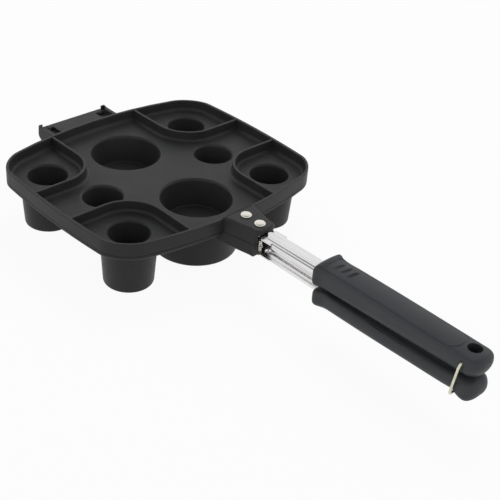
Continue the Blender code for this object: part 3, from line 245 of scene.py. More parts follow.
# One overrun for every cut, and the counts of facets
OVERRUN = 0.0020
MERGE_DISTANCE = 0.00001
SMALLEST_RADIUS = 0.0005
SMALLEST_STEP = 0.0001
CORNER_STEPS = 10
SIDE_STEPS = 8
FILLET_STEPS = 6
DIVIDER_STEPS = 16
TONGUE_STEPS = 12
SMALL_CUP_SEGMENTS = 48
LARGE_CUP_SEGMENTS = 72
RIVET_SEGMENTS = 32
HANG_HOLE_SEGMENTS = 48
PIN_SEGMENTS = 32
SEAT_STEPS = 14
EAR_BACK_STEPS = 12
GRIP_CORNER_STEPS = 6
GRIP_CROWN_STEPS = 10
GRIP_END_STEPS = 10
GRIP_RINGS = 50
FEWEST_RINGS = 3
GROOVE_SEGMENTS = 32
GROOVE_RINGS = 16
PAD_ROUND_STEPS = 3
BAIL_BEND_STEPS = 10
BAIL_ROUND_STEPS = 5
SMOOTH_ANGLE = math.radians(32.0)

# Shares that shape coves, rounded edges and rivet heads, as pairs of width and height, and other plain shares
ARC_STEPS = 5
QUARTER_ANGLES = [step / ARC_STEPS * math.pi / 2 for step in range(ARC_STEPS + 1)]
COVE_SHARES = [(1 - math.sin(angle), 1 - math.cos(angle)) for angle in QUARTER_ANGLES]
EDGE_SHARES = [(1 - math.cos(angle), 1 - math.sin(angle)) for angle in QUARTER_ANGLES]
RIVET_HEAD_SHARES = (
    (0.0, 1.0), (0.4, 0.99), (0.65, 0.96), (0.82, 0.88), (0.92, 0.72), (0.98, 0.46), (1.0, 0.16), (0.985, 0.0),
)
SMALLEST_MITRE_SHARE = 0.3
TONGUE_SHARE = 0.7
TONGUE_SLOPE = 0.20
GROOVE_HEIGHT_SHARE = 2.0

# Largest shares of a grip's half width and height that its corner radii may take: under side, then top
GRIP_WIDTH_SHARE = 0.90
GRIP_HEIGHT_SHARES = (0.60, 0.48)

# Shares along each grip, from its front to its round end or its heel: along, half width, top, underside.
# Heights are shares of the grip's own height, away from its parting face.
UPPER_GRIP_SHARES = (
    (0.000, 1.128, 0.925, 0.12),
    (0.009, 1.188, 0.990, 0.04),
    (0.023, 1.162, 1.018, 0.01),
    (0.042, 1.068, 0.995, 0.00),
    (0.068, 1.017, 0.982, 0.00),
    (0.106, 1.000, 0.980, 0.00),
    (0.182, 1.000, 1.000, 0.00),
    (0.545, 1.010, 1.012, 0.00),
    (1.000, 1.000, 1.000, 0.00),
)
LOWER_GRIP_SHARES = (
    (0.000, 1.128, 0.12, 1.020),
    (0.010, 1.205, 0.09, 1.090),
    (0.028, 1.188, 0.08, 1.110),
    (0.048, 1.103, 0.08, 1.110),
    (0.072, 1.026, 0.08, 1.100),
    (0.104, 1.000, 0.13, 1.085),
    (0.176, 1.000, 0.16, 1.080),
    (0.400, 1.000, 0.17, 1.060),
    (0.720, 1.000, 0.15, 0.985),
    (0.930, 1.000, 0.08, 0.940),
    (1.000, 1.000, 0.00, 0.888),
)
LOWER_TOP_EASE_SHARE = 0.5

# Shares along the lower grip's end, from the wire's seat: along, and the heel's depth, of the grip's depth
HEEL_SHARES = (
    (0.0, 0.888), (0.06, 0.895), (0.10, 0.96), (0.25, 1.04),
    (0.42, 1.10), (0.62, 1.12), (0.80, 1.09), (1.0, 1.05),
)
HEEL_PLACE_SHARES = (0.04, 0.07, 0.09, 0.11, 0.15, 0.20, 0.26, 0.30, 0.35)

# Places that follow from the sizes above
UPPER_RIM_BOTTOM = MATING_GAP / 2 - SEAM_DROP
LOWER_LIP_TOP = -SEAM_DROP - MATING_GAP / 2
LOWER_FACE = -UPPER_FLOOR - MATING_GAP
LOWER_RIM_BOTTOM = LOWER_LIP_TOP - LOWER_RIM_DEPTH
PLUG_ROOT = -UPPER_FLOOR / 2
CUP_ROOT = LOWER_FACE - LOWER_FLOOR / 2
HINGE_X = -PAN_HALF_LENGTH - HINGE_REACH
HINGE_Z = -HINGE_DROP
LUG_END = PAN_HALF_LENGTH + LUG_REACH
GRIP_START = LUG_END + SHANK_FREE_LENGTH
GRIP_END = GRIP_START + GRIP_LENGTH
UPPER_GRIP_BODY = GRIP_LENGTH - GRIP_END_RADIUS
SHOULDER_Z = SHANK_SHOULDER_RISE - PARTING_DROP
LOWER_SHOULDER_Z = -SHANK_SHOULDER_RISE - PARTING_DROP
LUG_ROOF_BOTTOM = SHOULDER_Z + FIT_GAP
LUG_TOP = LUG_ROOF_BOTTOM + LUG_ROOF
LUG_FLOOR_TOP = LOWER_SHOULDER_Z - FIT_GAP
LUG_BOTTOM = LUG_FLOOR_TOP - LUG_FLOOR
BAIL_X = GRIP_END - BAIL_FROM_END
BAIL_Z = BAIL_RISE - PARTING_DROP
HANG_HOLE_X = GRIP_END - HANG_HOLE_FROM_END
EAR_INNER = PLATE_ROOT_HALF_WIDTH + HINGE_RUN_GAP
EAR_OUTER = EAR_INNER + EAR_THICKNESS
PIN_END = EAR_OUTER - EAR_SKIN - FIT_GAP
PLATE_FRONT = -PAN_HALF_LENGTH - HINGE_RUN_GAP
PART_BACK = HINGE_X + EAR_CENTRE_AHEAD - EAR_RADIUS
PART_MIDDLE = (PART_BACK + GRIP_END) / 2

CORNER_PLACES = [(sx * CORNER_CUP_X, sy * CORNER_CUP_Y) for sx in (1, -1) for sy in (1, -1)]
MIDDLE_PLACES = [(0.0, sy * MIDDLE_CUP_Y) for sy in (1, -1)]
LARGE_PLACES = [(sx * LARGE_CUP_X, 0.0) for sx in (1, -1)]

# Recesses: radii at the top and the foot, places, facets. Cups: the same, and how much higher the foot sits.
RECESS_KINDS = (
    (SMALL_RECESS_TOP_RADIUS, SMALL_RECESS_FOOT_RADIUS, CORNER_PLACES + MIDDLE_PLACES, SMALL_CUP_SEGMENTS),
    (LARGE_RECESS_TOP_RADIUS, LARGE_RECESS_FOOT_RADIUS, LARGE_PLACES, LARGE_CUP_SEGMENTS),
)
CUP_KINDS = (
    (SMALL_CUP_TOP_RADIUS, SMALL_CUP_FOOT_RADIUS, CORNER_PLACES, SMALL_CUP_SEGMENTS, 0.0),
    (SMALL_CUP_TOP_RADIUS, SMALL_CUP_FOOT_RADIUS, MIDDLE_PLACES, SMALL_CUP_SEGMENTS, MIDDLE_FOOT_RISE),
    (LARGE_CUP_TOP_RADIUS, LARGE_CUP_FOOT_RADIUS, LARGE_PLACES, LARGE_CUP_SEGMENTS, 0.0),
)


def linked(name, data):
    """A new object in the scene for some data."""
    item = bpy.data.objects.new(name, data)
    bpy.context.scene.collection.objects.link(item)
    return item


def object_from_bmesh(shape, name="shaping"):
    """An object made from a bmesh, with its faces turned outwards."""
    bmesh.ops.recalc_face_normals(shape, faces=shape.faces)
    mesh = bpy.data.meshes.new(name)
    shape.to_mesh(mesh)
    shape.free()
    return linked(name, mesh)


def shaped(item, place=Matrix()):
    """A bmesh of an object's final shape, moved by a matrix. The object and its Boolean tools are removed."""
    bpy.context.view_layer.update()
    depsgraph = bpy.context.evaluated_depsgraph_get()
    mesh = bpy.data.meshes.new_from_object(item.evaluated_get(depsgraph))
    mesh.transform(place @ item.matrix_world)
    tools = [modifier.object for modifier in item.modifiers if modifier.type == "BOOLEAN"]
    for old in [item, *tools]:
        bpy.data.objects.remove(old, do_unlink=True)
    shape = bmesh.new()
    shape.from_mesh(mesh)
    bpy.data.meshes.remove(mesh)
    bmesh.ops.remove_doubles(shape, verts=shape.verts, dist=MERGE_DISTANCE)
    return shape


def boolean(item, tool, operation):
    """A live Boolean of one object with another."""
    modifier = item.modifiers.new(tool.name, "BOOLEAN")
    modifier.operation = operation
    modifier.solver = "EXACT"
    modifier.object = tool


def loft(rings):
    """A solid through rings of as many points each, with flat caps on the first and the last."""
    shape = bmesh.new()
    rows = [[shape.verts.new(point) for point in ring] for ring in rings]
    count = len(rows[0])
    for row, following in zip(rows, rows[1:]):
        for i in range(count):
            j = (i + 1) % count
            shape.faces.new((row[i], row[j], following[j], following[i]))
    shape.faces.new(rows[0])
    shape.faces.new(rows[-1])
    return object_from_bmesh(shape)


def quarter(steps, corner=0):
    """Cosine and sine at even steps along one quarter of a circle."""
    angles = [(corner + step / steps) * math.pi / 2 for step in range(steps + 1)]
    return [(math.cos(angle), math.sin(angle)) for angle in angles]


def flat_outline(loops, low, high):
    """A flat plate between two heights, from an outline and its holes as loops of (x, y)."""
    curve = bpy.data.curves.new("shaping", "CURVE")
    curve.dimensions = "2D"
    curve.fill_mode = "BOTH"
    curve.extrude = (high - low) / 2
    for loop in loops:
        spline = curve.splines.new("POLY")
        spline.points.add(len(loop) - 1)
        for point, (x, y) in zip(spline.points, loop):
            point.co = (x, y, 0.0, 1.0)
        spline.use_cyclic_u = True
    guide = linked("shaping", curve)
    guide.location.z = (low + high) / 2
    return object_from_bmesh(shaped(guide))


def upright_outline(loops, low, high):
    """A flat plate between two values of y, from loops of (x, z)."""
    plate = flat_outline(loops, -high, -low)
    plate.data.transform(Matrix.Rotation(math.radians(90.0), 4, "X"))
    return plate


def tube(places, radius, round_steps, closed):
    """A round wire along a line of places."""
    curve = bpy.data.curves.new("shaping", "CURVE")
    curve.dimensions = "3D"
    curve.bevel_depth = radius
    curve.bevel_resolution = round_steps
    curve.use_fill_caps = not closed
    spline = curve.splines.new("POLY")
    spline.points.add(len(places) - 1)
    for point, place in zip(spline.points, places):
        point.co = (*place, 1.0)
    spline.use_cyclic_u = closed
    return object_from_bmesh(shaped(linked("shaping", curve)))


def turned(profile, segments, places=((0.0, 0.0),)):
    """Bodies turned about Z at each place, from (radius, height) points that run down their outer side."""
    mesh = bpy.data.meshes.new("shaping")
    points = [(radius, 0.0, height) for radius, height in profile]
    mesh.from_pydata(points, [(i, i + 1) for i in range(len(points) - 1)], [])
    item = linked("shaping", mesh)
    screw = item.modifiers.new("Turn", "SCREW")
    screw.steps = segments
    screw.render_steps = segments
    screw.use_merge_vertices = True
    screw.merge_threshold = MERGE_DISTANCE
    source = object_from_bmesh(shaped(item))
    shape = bmesh.new()
    for x, y in places:
        first = len(shape.verts)
        shape.from_mesh(source.data)
        shape.verts.ensure_lookup_table()
        bmesh.ops.translate(shape, verts=shape.verts[first:], vec=(x, y, 0.0))
    bpy.data.objects.remove(source, do_unlink=True)
    return object_from_bmesh(shape)


def cylinder(radius, low, high, place, segments, axis="Z"):
    """A cylinder along Z or Y between two values of that axis."""
    shape = bmesh.new()
    bmesh.ops.create_cone(
        shape, cap_ends=True, segments=segments, radius1=radius, radius2=radius, depth=high - low
    )
    middle = (low + high) / 2
    if axis == "Y":
        bmesh.ops.rotate(shape, verts=shape.verts, matrix=Matrix.Rotation(math.radians(90.0), 3, "X"))
        centre = (place[0], middle, place[1])
    else:
        centre = (place[0], place[1], middle)
    bmesh.ops.translate(shape, verts=shape.verts, vec=centre)
    return object_from_bmesh(shape)


def box(low, high):
    """A box between two opposite corners."""
    shape = bmesh.new()
    bmesh.ops.create_cube(shape, size=1.0)
    for vertex in shape.verts:
        for i in range(3):
            vertex.co[i] = low[i] if vertex.co[i] < 0 else high[i]
    return object_from_bmesh(shape)


def inset_loop(points, distance):
    """A counter-clockwise loop of (x, y) drawn in by a distance, with mitred corners."""
    count = len(points)
    result = []
    for i in range(count):
        here = Vector(points[i])
        before = (here - Vector(points[i - 1])).normalized()
        after = (Vector(points[(i + 1) % count]) - here).normalized()
        inward = Vector((-before.y - after.y, before.x + after.x)).normalized()
        mitre = max(inward.dot(Vector((-before.y, before.x))), SMALLEST_MITRE_SHARE)
        result.append(tuple(here + inward * (distance / mitre)))
    return result


def raised(points, height):
    """Points of (x, y) at one height."""
    return [(x, y, height) for x, y in points]


def pan_outline(inset):
    """The castings' outline drawn in by an inset: a round-cornered rectangle whose sides bow outwards."""
    half_x = PAN_HALF_LENGTH - inset
    half_y = PAN_HALF_WIDTH - inset
    radius = max(PAN_CORNER_RADIUS - inset, SMALLEST_RADIUS)
    straight = []
    for corner, (sx, sy) in enumerate(((1, 1), (-1, 1), (-1, -1), (1, -1))):
        for cosine, sine in quarter(CORNER_STEPS, corner):
            x = sx * (half_x - radius) + radius * cosine
            y = sy * (half_y - radius) + radius * sine
            straight.append(Vector((x, y)))
    points = []
    for i, point in enumerate(straight):
        points.append(point)
        if i % (CORNER_STEPS + 1) == CORNER_STEPS:
            following = straight[(i + 1) % len(straight)]
            points += [point.lerp(following, step / SIDE_STEPS) for step in range(1, SIDE_STEPS)]
    return [(x * end_bow(y), y * side_bow(x)) for x, y in points]


def end_bow(y):
    """How far the castings' ends reach at a given y, as a share of their reach in the middle."""
    return 1 - END_BOW_SHARE * (y / PAN_HALF_WIDTH) ** 2


def side_bow(x):
    """How far the castings' sides reach at a given x, as a share of their reach in the middle."""
    return 1 - SIDE_BOW_SHARE * (x / PAN_HALF_LENGTH) ** 2


def rim_x(y):
    """How far the end of the rim reaches along X at a given y."""
    return PAN_HALF_LENGTH * end_bow(y)


def tapered(top_radius, foot_radius, depth, full_depth):
    """The radius of a tapered wall at a depth below its top."""
    return top_radius + (foot_radius - top_radius) * depth / full_depth


def mouth_arc(wall_radius):
    """Points of a rounded mouth, from the flat face it opens in down to the wall."""
    return [
        (wall_radius + MOUTH_FILLET * (1 - sine), -MOUTH_FILLET * (1 - cosine))
        for cosine, sine in quarter(FILLET_STEPS)
    ]


def foot_arc(radius, fillet, bottom):
    """Points of the rounded foot of a cup, from its wall to its flat bottom."""
    return [
        (radius - fillet * (1 - cosine), bottom + fillet * (1 - sine)) for cosine, sine in quarter(FILLET_STEPS)
    ]


def plug_profile(top_radius, foot_radius):
    """The outside of a plug under the upper floor, rooted in the middle of that floor."""
    bottom = -RECESS_DEPTH - PLUG_WALL
    root_radius = tapered(top_radius, foot_radius, -PLUG_ROOT, RECESS_DEPTH) + PLUG_WALL
    foot = foot_arc(foot_radius + PLUG_WALL, PLUG_WALL, bottom)
    return [(0.0, PLUG_ROOT), (root_radius, PLUG_ROOT), *foot, (0.0, bottom)]


def recess_profile(top_radius, foot_radius):
    """The hollow of a plug, with a rounded mouth."""
    mouth = mouth_arc(tapered(top_radius, foot_radius, MOUTH_FILLET, RECESS_DEPTH))
    foot = foot_arc(foot_radius, RECESS_FILLET, -RECESS_DEPTH)
    return [(0.0, OVERRUN), (mouth[0][0], OVERRUN), *mouth, *foot, (0.0, -RECESS_DEPTH)]


def raised_foot_radius(top_radius, foot_radius, rise):
    """The radius at the foot of a cup whose foot sits higher, with the same taper."""
    depth = FOOT_DROP + CUP_ROOT
    return tapered(top_radius, foot_radius, depth - rise, depth)


def cup_profile(top_radius, foot_radius, rise):
    """The outside of a lower cup, rooted in the middle of the lower floor."""
    bottom = rise - FOOT_DROP
    foot = foot_arc(raised_foot_radius(top_radius, foot_radius, rise), CUP_FILLET, bottom)
    return [(0.0, CUP_ROOT), (top_radius, CUP_ROOT), *foot, (0.0, bottom)]


def cup_hollow_profile(top_radius, foot_radius, rise):
    """The inside of a lower cup, open through the lower floor."""
    top = LOWER_FACE + OVERRUN
    bottom = rise - FOOT_DROP + CUP_WALL
    foot = foot_arc(raised_foot_radius(top_radius, foot_radius, rise) - CUP_WALL, CUP_FILLET, bottom)
    mouth_radius = top_radius - CUP_WALL
    return [(0.0, top), (mouth_radius, top), (mouth_radius, LOWER_FACE), *foot, (0.0, bottom)]


def divider_path(sx, sy):
    """The middle line of the divider round one corner cup: a leg, an arc and a leg."""
    centre = Vector((sx * CORNER_CUP_X, sy * CORNER_CUP_Y))
    leg_y = centre.y - sy * DIVIDER_RADIUS
    leg_x = centre.x - sx * DIVIDER_RADIUS
    points = [Vector((sx * (rim_x(leg_y) - RIM_WALL / 2), leg_y))]
    for cosine, sine in quarter(DIVIDER_STEPS):
        points.append(centre + Vector((-sx * sine, -sy * cosine)) * DIVIDER_RADIUS)
    points.append(Vector((leg_x, sy * (PAN_HALF_WIDTH * side_bow(leg_x) - RIM_WALL / 2))))
    return points


def ribbon(path, half_width):
    """The closed outline of a ribbon along a path."""
    left = []
    right = []
    for i, point in enumerate(path):
        before = path[max(i - 1, 0)]
        after = path[min(i + 1, len(path) - 1)]
        along = (after - before).normalized()
        across = Vector((-along.y, along.x)) * half_width
        left.append(tuple(point + across))
        right.append(tuple(point - across))
    return left + right[::-1]


def divider(x, y):
    """The divider round the corner cup at a place: coved feet and a rounded top edge, rooted in the floor."""
    path = divider_path(math.copysign(1.0, x), math.copysign(1.0, y))
    half = DIVIDER_THICKNESS / 2
    top = RIM_HEIGHT - DIVIDER_DROP
    levels = [(half + DIVIDER_COVE, -UPPER_FLOOR / 2)]
    levels += [(half + DIVIDER_COVE * wide, DIVIDER_COVE * high) for wide, high in COVE_SHARES]
    levels += [(half - RIM_EDGE * wide, top - RIM_EDGE * high) for wide, high in EDGE_SHARES]
    return loft([raised(ribbon(path, width), height) for width, height in levels])


def lug_outline(start, tongue):
    """The plan of a lug from a start inside the rim to its end face, with a round tongue or without."""
    side = [
        (start, LUG_ROOT_HALF_WIDTH),
        (PAN_HALF_LENGTH, LUG_ROOT_HALF_WIDTH),
        (PAN_HALF_LENGTH + LUG_TAPER_REACH, LUG_NECK_HALF_WIDTH),
        (LUG_END, LUG_END_HALF_WIDTH),
    ]
    middle = []
    if tongue:
        for cosine, sine in quarter(TONGUE_STEPS)[1:-1]:
            side.append((LUG_END + LUG_TONGUE_LENGTH * sine, LUG_END_HALF_WIDTH * cosine ** TONGUE_SHARE))
        middle.append((LUG_END + LUG_TONGUE_LENGTH, 0.0))
    return [(x, -y) for x, y in side] + middle + side[::-1]


def edged_block(outline, plain, edged):
    """A block from one height to another, with its edge rounded at the second."""
    towards = 1 if edged > plain else -1
    rings = [raised(outline, plain)]
    for wide, high in EDGE_SHARES:
        rings.append(raised(inset_loop(outline, LUG_EDGE * wide), edged - towards * LUG_EDGE * high))
    return loft(rings)


def lug_channel(low, high):
    """The channel that a lug has for its shank."""
    return box(
        (PAN_HALF_LENGTH + LUG_CHANNEL_START, -LUG_CHANNEL_HALF_WIDTH, low),
        (LUG_END + OVERRUN, LUG_CHANNEL_HALF_WIDTH, high),
    )


def tongue_room():
    """The room under the upper lug's tongue, whose underside slopes."""
    beyond = LUG_END + LUG_TONGUE_LENGTH + OVERRUN
    outline = [
        (LUG_END, UPPER_RIM_BOTTOM - OVERRUN),
        (beyond, UPPER_RIM_BOTTOM - OVERRUN),
        (beyond, LUG_ROOF_BOTTOM + (beyond - LUG_END) * TONGUE_SLOPE),
        (LUG_END, LUG_ROOF_BOTTOM),
    ]
    return upright_outline([outline], -LUG_ROOT_HALF_WIDTH, LUG_ROOT_HALF_WIDTH)


def rivet_places(shift):
    """The x of the front and the rear rivet of a lug."""
    front = PAN_HALF_LENGTH + RIVET_FRONT_REACH + shift
    return front, front + RIVET_SPACING


def ear_outline():
    """The side view of an ear: a horn, a flat top, a wall to the rim, a sloping underside and a round back."""
    wall_x = -rim_x(EAR_OUTER) - EAR_WALL_CLEARANCE
    root_x = -rim_x(EAR_OUTER) + RIM_WALL / 2
    centre_x = HINGE_X + EAR_CENTRE_AHEAD
    centre_z = HINGE_Z - EAR_CENTRE_DROP
    top = HINGE_Z + EAR_TOP_RISE
    points = [
        (HINGE_X - EAR_HORN_BACK, HINGE_Z + EAR_HORN_RISE),
        (HINGE_X - EAR_TIP_BACK, HINGE_Z + EAR_TIP_RISE),
        (HINGE_X + EAR_SHOULDER_AHEAD, top),
        (wall_x, top),
        (wall_x, LOWER_LIP_TOP),
        (root_x, LOWER_LIP_TOP),
        (root_x, LOWER_RIM_BOTTOM + EAR_ROOT_SINK),
    ]
    for cosine, sine in quarter(EAR_BACK_STEPS, 1):
        points.append((centre_x + EAR_RADIUS * cosine, centre_z - EAR_RADIUS * sine))
    return points


def pocket_outline():
    """The side view of the pocket for a pin: a round seat, open upwards."""
    seat = PIN_RADIUS + PIN_CLEARANCE
    open_end = HINGE_Z + EAR_TIP_RISE + OVERRUN
    points = [(HINGE_X + seat, open_end), (HINGE_X - seat, open_end)]
    for step in range(SEAT_STEPS + 1):
        angle = (1 + step / SEAT_STEPS) * math.pi
        points.append((HINGE_X + seat * math.cos(angle), HINGE_Z + seat * math.sin(angle)))
    return points


def hinge_plate():
    """The upper casting's hinge plate: a bar from ear to ear that holds the pins, and a narrower middle."""
    bar_front = HINGE_X + PLATE_BAR_AHEAD
    side = [
        (HINGE_X - PLATE_OVERHANG, PLATE_ROOT_HALF_WIDTH),
        (bar_front, PLATE_ROOT_HALF_WIDTH),
        (bar_front, PLATE_WAIST_HALF_WIDTH),
        (PLATE_FRONT, PLATE_WAIST_HALF_WIDTH),
    ]
    loop = side + [(x, -y) for x, y in side[::-1]]
    return flat_outline([loop], -PLATE_THICKNESS, 0.0)


def pocket_floor(sy):
    """The thin floor of the pocket beside the hinge plate's middle."""
    ends = sorted((sy * (PLATE_WAIST_HALF_WIDTH - OVERRUN), sy * PLATE_ROOT_HALF_WIDTH))
    return box(
        (HINGE_X, ends[0], -PLATE_THICKNESS + MERGE_DISTANCE),
        (PLATE_FRONT, ends[1], PLATE_FLOOR_THICKNESS - PLATE_THICKNESS),
    )


def root_web():
    """The wedge that roots the hinge plate in the upper rim, clear of the lower casting."""
    wall = -rim_x(PLATE_ROOT_HALF_WIDTH) + RIM_WALL / 2
    face = -PAN_HALF_LENGTH
    under = UPPER_RIM_BOTTOM + MERGE_DISTANCE
    outline = [
        (face - ROOT_WEB_LENGTH, under),
        (wall, under),
        (wall, ROOT_WEB_HEIGHT),
        (face, ROOT_WEB_HEIGHT),
        (face - ROOT_WEB_LENGTH, -ROOT_WEB_SINK),
    ]
    return upright_outline([outline], -PLATE_ROOT_HALF_WIDTH, PLATE_ROOT_HALF_WIDTH)


def make_upper_pan():
    """The upper casting, with live Booleans for what joins and cuts it."""
    step_inset = RIM_WALL + STEP_CLEARANCE
    inner = RIM_WALL + RIM_DRAFT
    levels = [(step_inset, -UPPER_FLOOR), (step_inset, UPPER_RIM_BOTTOM), (0.0, UPPER_RIM_BOTTOM)]
    levels += [(RIM_EDGE * wide, RIM_HEIGHT - RIM_EDGE * high) for wide, high in EDGE_SHARES]
    levels += [(RIM_WALL - RIM_EDGE * wide, RIM_HEIGHT - RIM_EDGE * high) for wide, high in EDGE_SHARES[::-1]]
    levels += [(inner + FLOOR_COVE * wide, FLOOR_COVE * high) for wide, high in COVE_SHARES[::-1]]
    pan = loft([raised(pan_outline(inset), height) for inset, height in levels])
    for top_radius, foot_radius, places, segments in RECESS_KINDS:
        plugs = turned(plug_profile(top_radius, foot_radius), segments, places)
        boolean(pan, plugs, "UNION")
        hollows = turned(recess_profile(top_radius, foot_radius), segments, places)
        boolean(pan, hollows, "DIFFERENCE")
    for x, y in CORNER_PLACES:
        boolean(pan, divider(x, y), "UNION")
    plan = lug_outline(PAN_HALF_LENGTH - RIM_WALL / 2, True)
    boolean(pan, edged_block(plan, UPPER_RIM_BOTTOM, LUG_TOP), "UNION")
    boolean(pan, lug_channel(UPPER_RIM_BOTTOM - OVERRUN, LUG_ROOF_BOTTOM), "DIFFERENCE")
    boolean(pan, tongue_room(), "DIFFERENCE")
    boolean(pan, hinge_plate(), "UNION")
    boolean(pan, root_web(), "UNION")
    for sy in (1, -1):
        ends = sorted((sy * (PLATE_HALF_WIDTH - PIN_ROOT_LENGTH), sy * PIN_END))
        boolean(pan, cylinder(PIN_RADIUS, *ends, (HINGE_X, HINGE_Z), PIN_SEGMENTS, "Y"), "UNION")
        boolean(pan, pocket_floor(sy), "UNION")
    for x in rivet_places(0.0):
        cut_rivet_hole(pan, x, 0.0, LUG_TOP)
    return pan


def cut_rivet_hole(item, x, low, high):
    """A clearance hole for a rivet, cut through a piece."""
    radius = RIVET_SHAFT_RADIUS + FIT_GAP
    hole = cylinder(radius, low - OVERRUN, high + OVERRUN, (x, 0.0), RIVET_SEGMENTS)
    boolean(item, hole, "DIFFERENCE")


def make_lower_pan():
    """The lower casting, with live Booleans for what joins and cuts it."""
    levels = [
        (LOWER_BAND + LOWER_BAND_SLOPE, LOWER_FACE - LOWER_FLOOR),
        (LOWER_BAND, LOWER_RIM_BOTTOM),
        (LOWER_RIM_EDGE, LOWER_RIM_BOTTOM),
        (0.0, LOWER_RIM_BOTTOM + LOWER_RIM_EDGE),
        (0.0, LOWER_LIP_TOP),
    ]
    pan = loft([raised(pan_outline(inset), height) for inset, height in levels])
    for top_radius, foot_radius, places, segments, rise in CUP_KINDS:
        cups = turned(cup_profile(top_radius, foot_radius, rise), segments, places)
        boolean(pan, cups, "UNION")
    plan = lug_outline(PAN_HALF_LENGTH - LUG_GUSSET_LENGTH, False)
    boolean(pan, edged_block(plan, LOWER_LIP_TOP, LUG_BOTTOM), "UNION")
    boolean(pan, lug_channel(LUG_FLOOR_TOP, LOWER_LIP_TOP + OVERRUN), "DIFFERENCE")
    for sy in (1, -1):
        ear_faces = sorted((sy * EAR_INNER, sy * EAR_OUTER))
        boolean(pan, upright_outline([ear_outline()], *ear_faces), "UNION")
        pocket_faces = sorted((sy * (EAR_INNER - OVERRUN), sy * (EAR_OUTER - EAR_SKIN)))
        boolean(pan, upright_outline([pocket_outline()], *pocket_faces), "DIFFERENCE")
    tray = [raised(pan_outline(RIM_WALL), height) for height in (LOWER_FACE, LOWER_LIP_TOP + OVERRUN)]
    boolean(pan, loft(tray), "DIFFERENCE")
    for top_radius, foot_radius, places, segments, rise in CUP_KINDS:
        hollows = turned(cup_hollow_profile(top_radius, foot_radius, rise), segments, places)
        boolean(pan, hollows, "DIFFERENCE")
    for x in rivet_places(LOWER_RIVET_SHIFT):
        cut_rivet_hole(pan, x, LUG_BOTTOM, LUG_FLOOR_TOP)
    return pan


def clamped(share):
    """A share held between 0 and 1."""
    return min(max(share, 0.0), 1.0)


def ramp(value, low, high):
    """A smooth step from 0 at one value to 1 at another."""
    share = clamped((value - low) / (high - low))
    return share * share * (3 - 2 * share)


def rib_share(x, y):
    """How much of the rib's height stands at a point of a shank: none outside its round-ended plan."""
    centre = LUG_END + SHANK_RIB_REACH + SHANK_RIB_HALF_WIDTH
    distance = math.hypot(min(x - centre, 0.0), y)
    return 1 - ramp(distance, SHANK_RIB_HALF_WIDTH - SHANK_RIB_SLOPE - SHANK_RIB_BLEND, SHANK_RIB_HALF_WIDTH)


def shank_stations():
    """The x of a shank's sections, closer together where its neck widens and where its rib and lip begin."""
    marks = [
        LUG_END - TANG_IN_LUG,
        LUG_END + FIT_GAP,
        LUG_END + SHANK_RIB_REACH,
        LUG_END + SHANK_RIB_REACH + SHANK_RIB_HALF_WIDTH,
        LUG_END + SHANK_LIP_REACH,
        LUG_END + SHANK_LIP_REACH + SHANK_LIP_CORNER,
        GRIP_START + TANG_IN_GRIP,
    ]
    stations = []
    for x, following, count in zip(marks, marks[1:], SHANK_STATION_COUNTS):
        stations += [x + (following - x) * step / count for step in range(count)]
    return stations + marks[-1:]


def shank_section(x, side):
    """Half of a shank's outer face at one x: the rib, a shoulder, a soft bend and the upper one's lip."""
    neck = LUG_END + FIT_GAP
    shoulder = SHANK_SHOULDER_RISE
    if side > 0:
        shoulder += SHANK_TILT * clamped((x - LUG_END) / SHANK_FREE_LENGTH)
    widening = ramp(x, neck, neck + SHANK_NECK_TAPER)
    edge = SHANK_NECK_HALF_WIDTH + (SHANK_EDGE_HALF_WIDTH - SHANK_NECK_HALF_WIDTH) * widening
    flat = min(SHANK_FLAT_HALF_WIDTH, edge - SHANK_LIP_STUB)
    lip_start = LUG_END + SHANK_LIP_REACH
    turned_down = ramp(x, lip_start, lip_start + SHANK_LIP_CORNER)
    slant = turned_down * (SHANK_LIP_SLANT if side > 0 else SHANK_LOWER_SLANT)
    lip = max(edge - flat - SHANK_BEND_RADIUS * slant, SHANK_LIP_STUB)
    if side > 0:
        deepening = clamped((x - lip_start) / SHANK_LIP_RUN)
        depth = SHANK_LIP_FIRST_DEPTH + (SHANK_LIP_DEPTH - SHANK_LIP_FIRST_DEPTH) * deepening
        depth += shoulder - SHANK_SHOULDER_RISE - SHANK_BEND_RADIUS * (1 - math.cos(SHANK_LIP_SLANT))
        lip += (max(depth / math.sin(SHANK_LIP_SLANT), SHANK_LIP_STUB) - lip) * turned_down
    points = []
    for step in range(SHANK_FLAT_STEPS + 1):
        y = flat * step / SHANK_FLAT_STEPS
        points.append((x, y, shoulder + SHANK_RIB_FRONT_RISE * rib_share(x, y)))
    for step in range(1, SHANK_BEND_STEPS + 1):
        angle = step / SHANK_BEND_STEPS * slant
        y = flat + SHANK_BEND_RADIUS * math.sin(angle)
        if slant == 0:
            y += SHANK_LIP_STUB / 2 * step / SHANK_BEND_STEPS
        z = shoulder - SHANK_BEND_RADIUS * (1 - math.cos(angle))
        points.append((x, y, z))
    points.append((x, y + max(lip * math.cos(slant), SMALLEST_STEP), z - lip * math.sin(slant)))
    return points


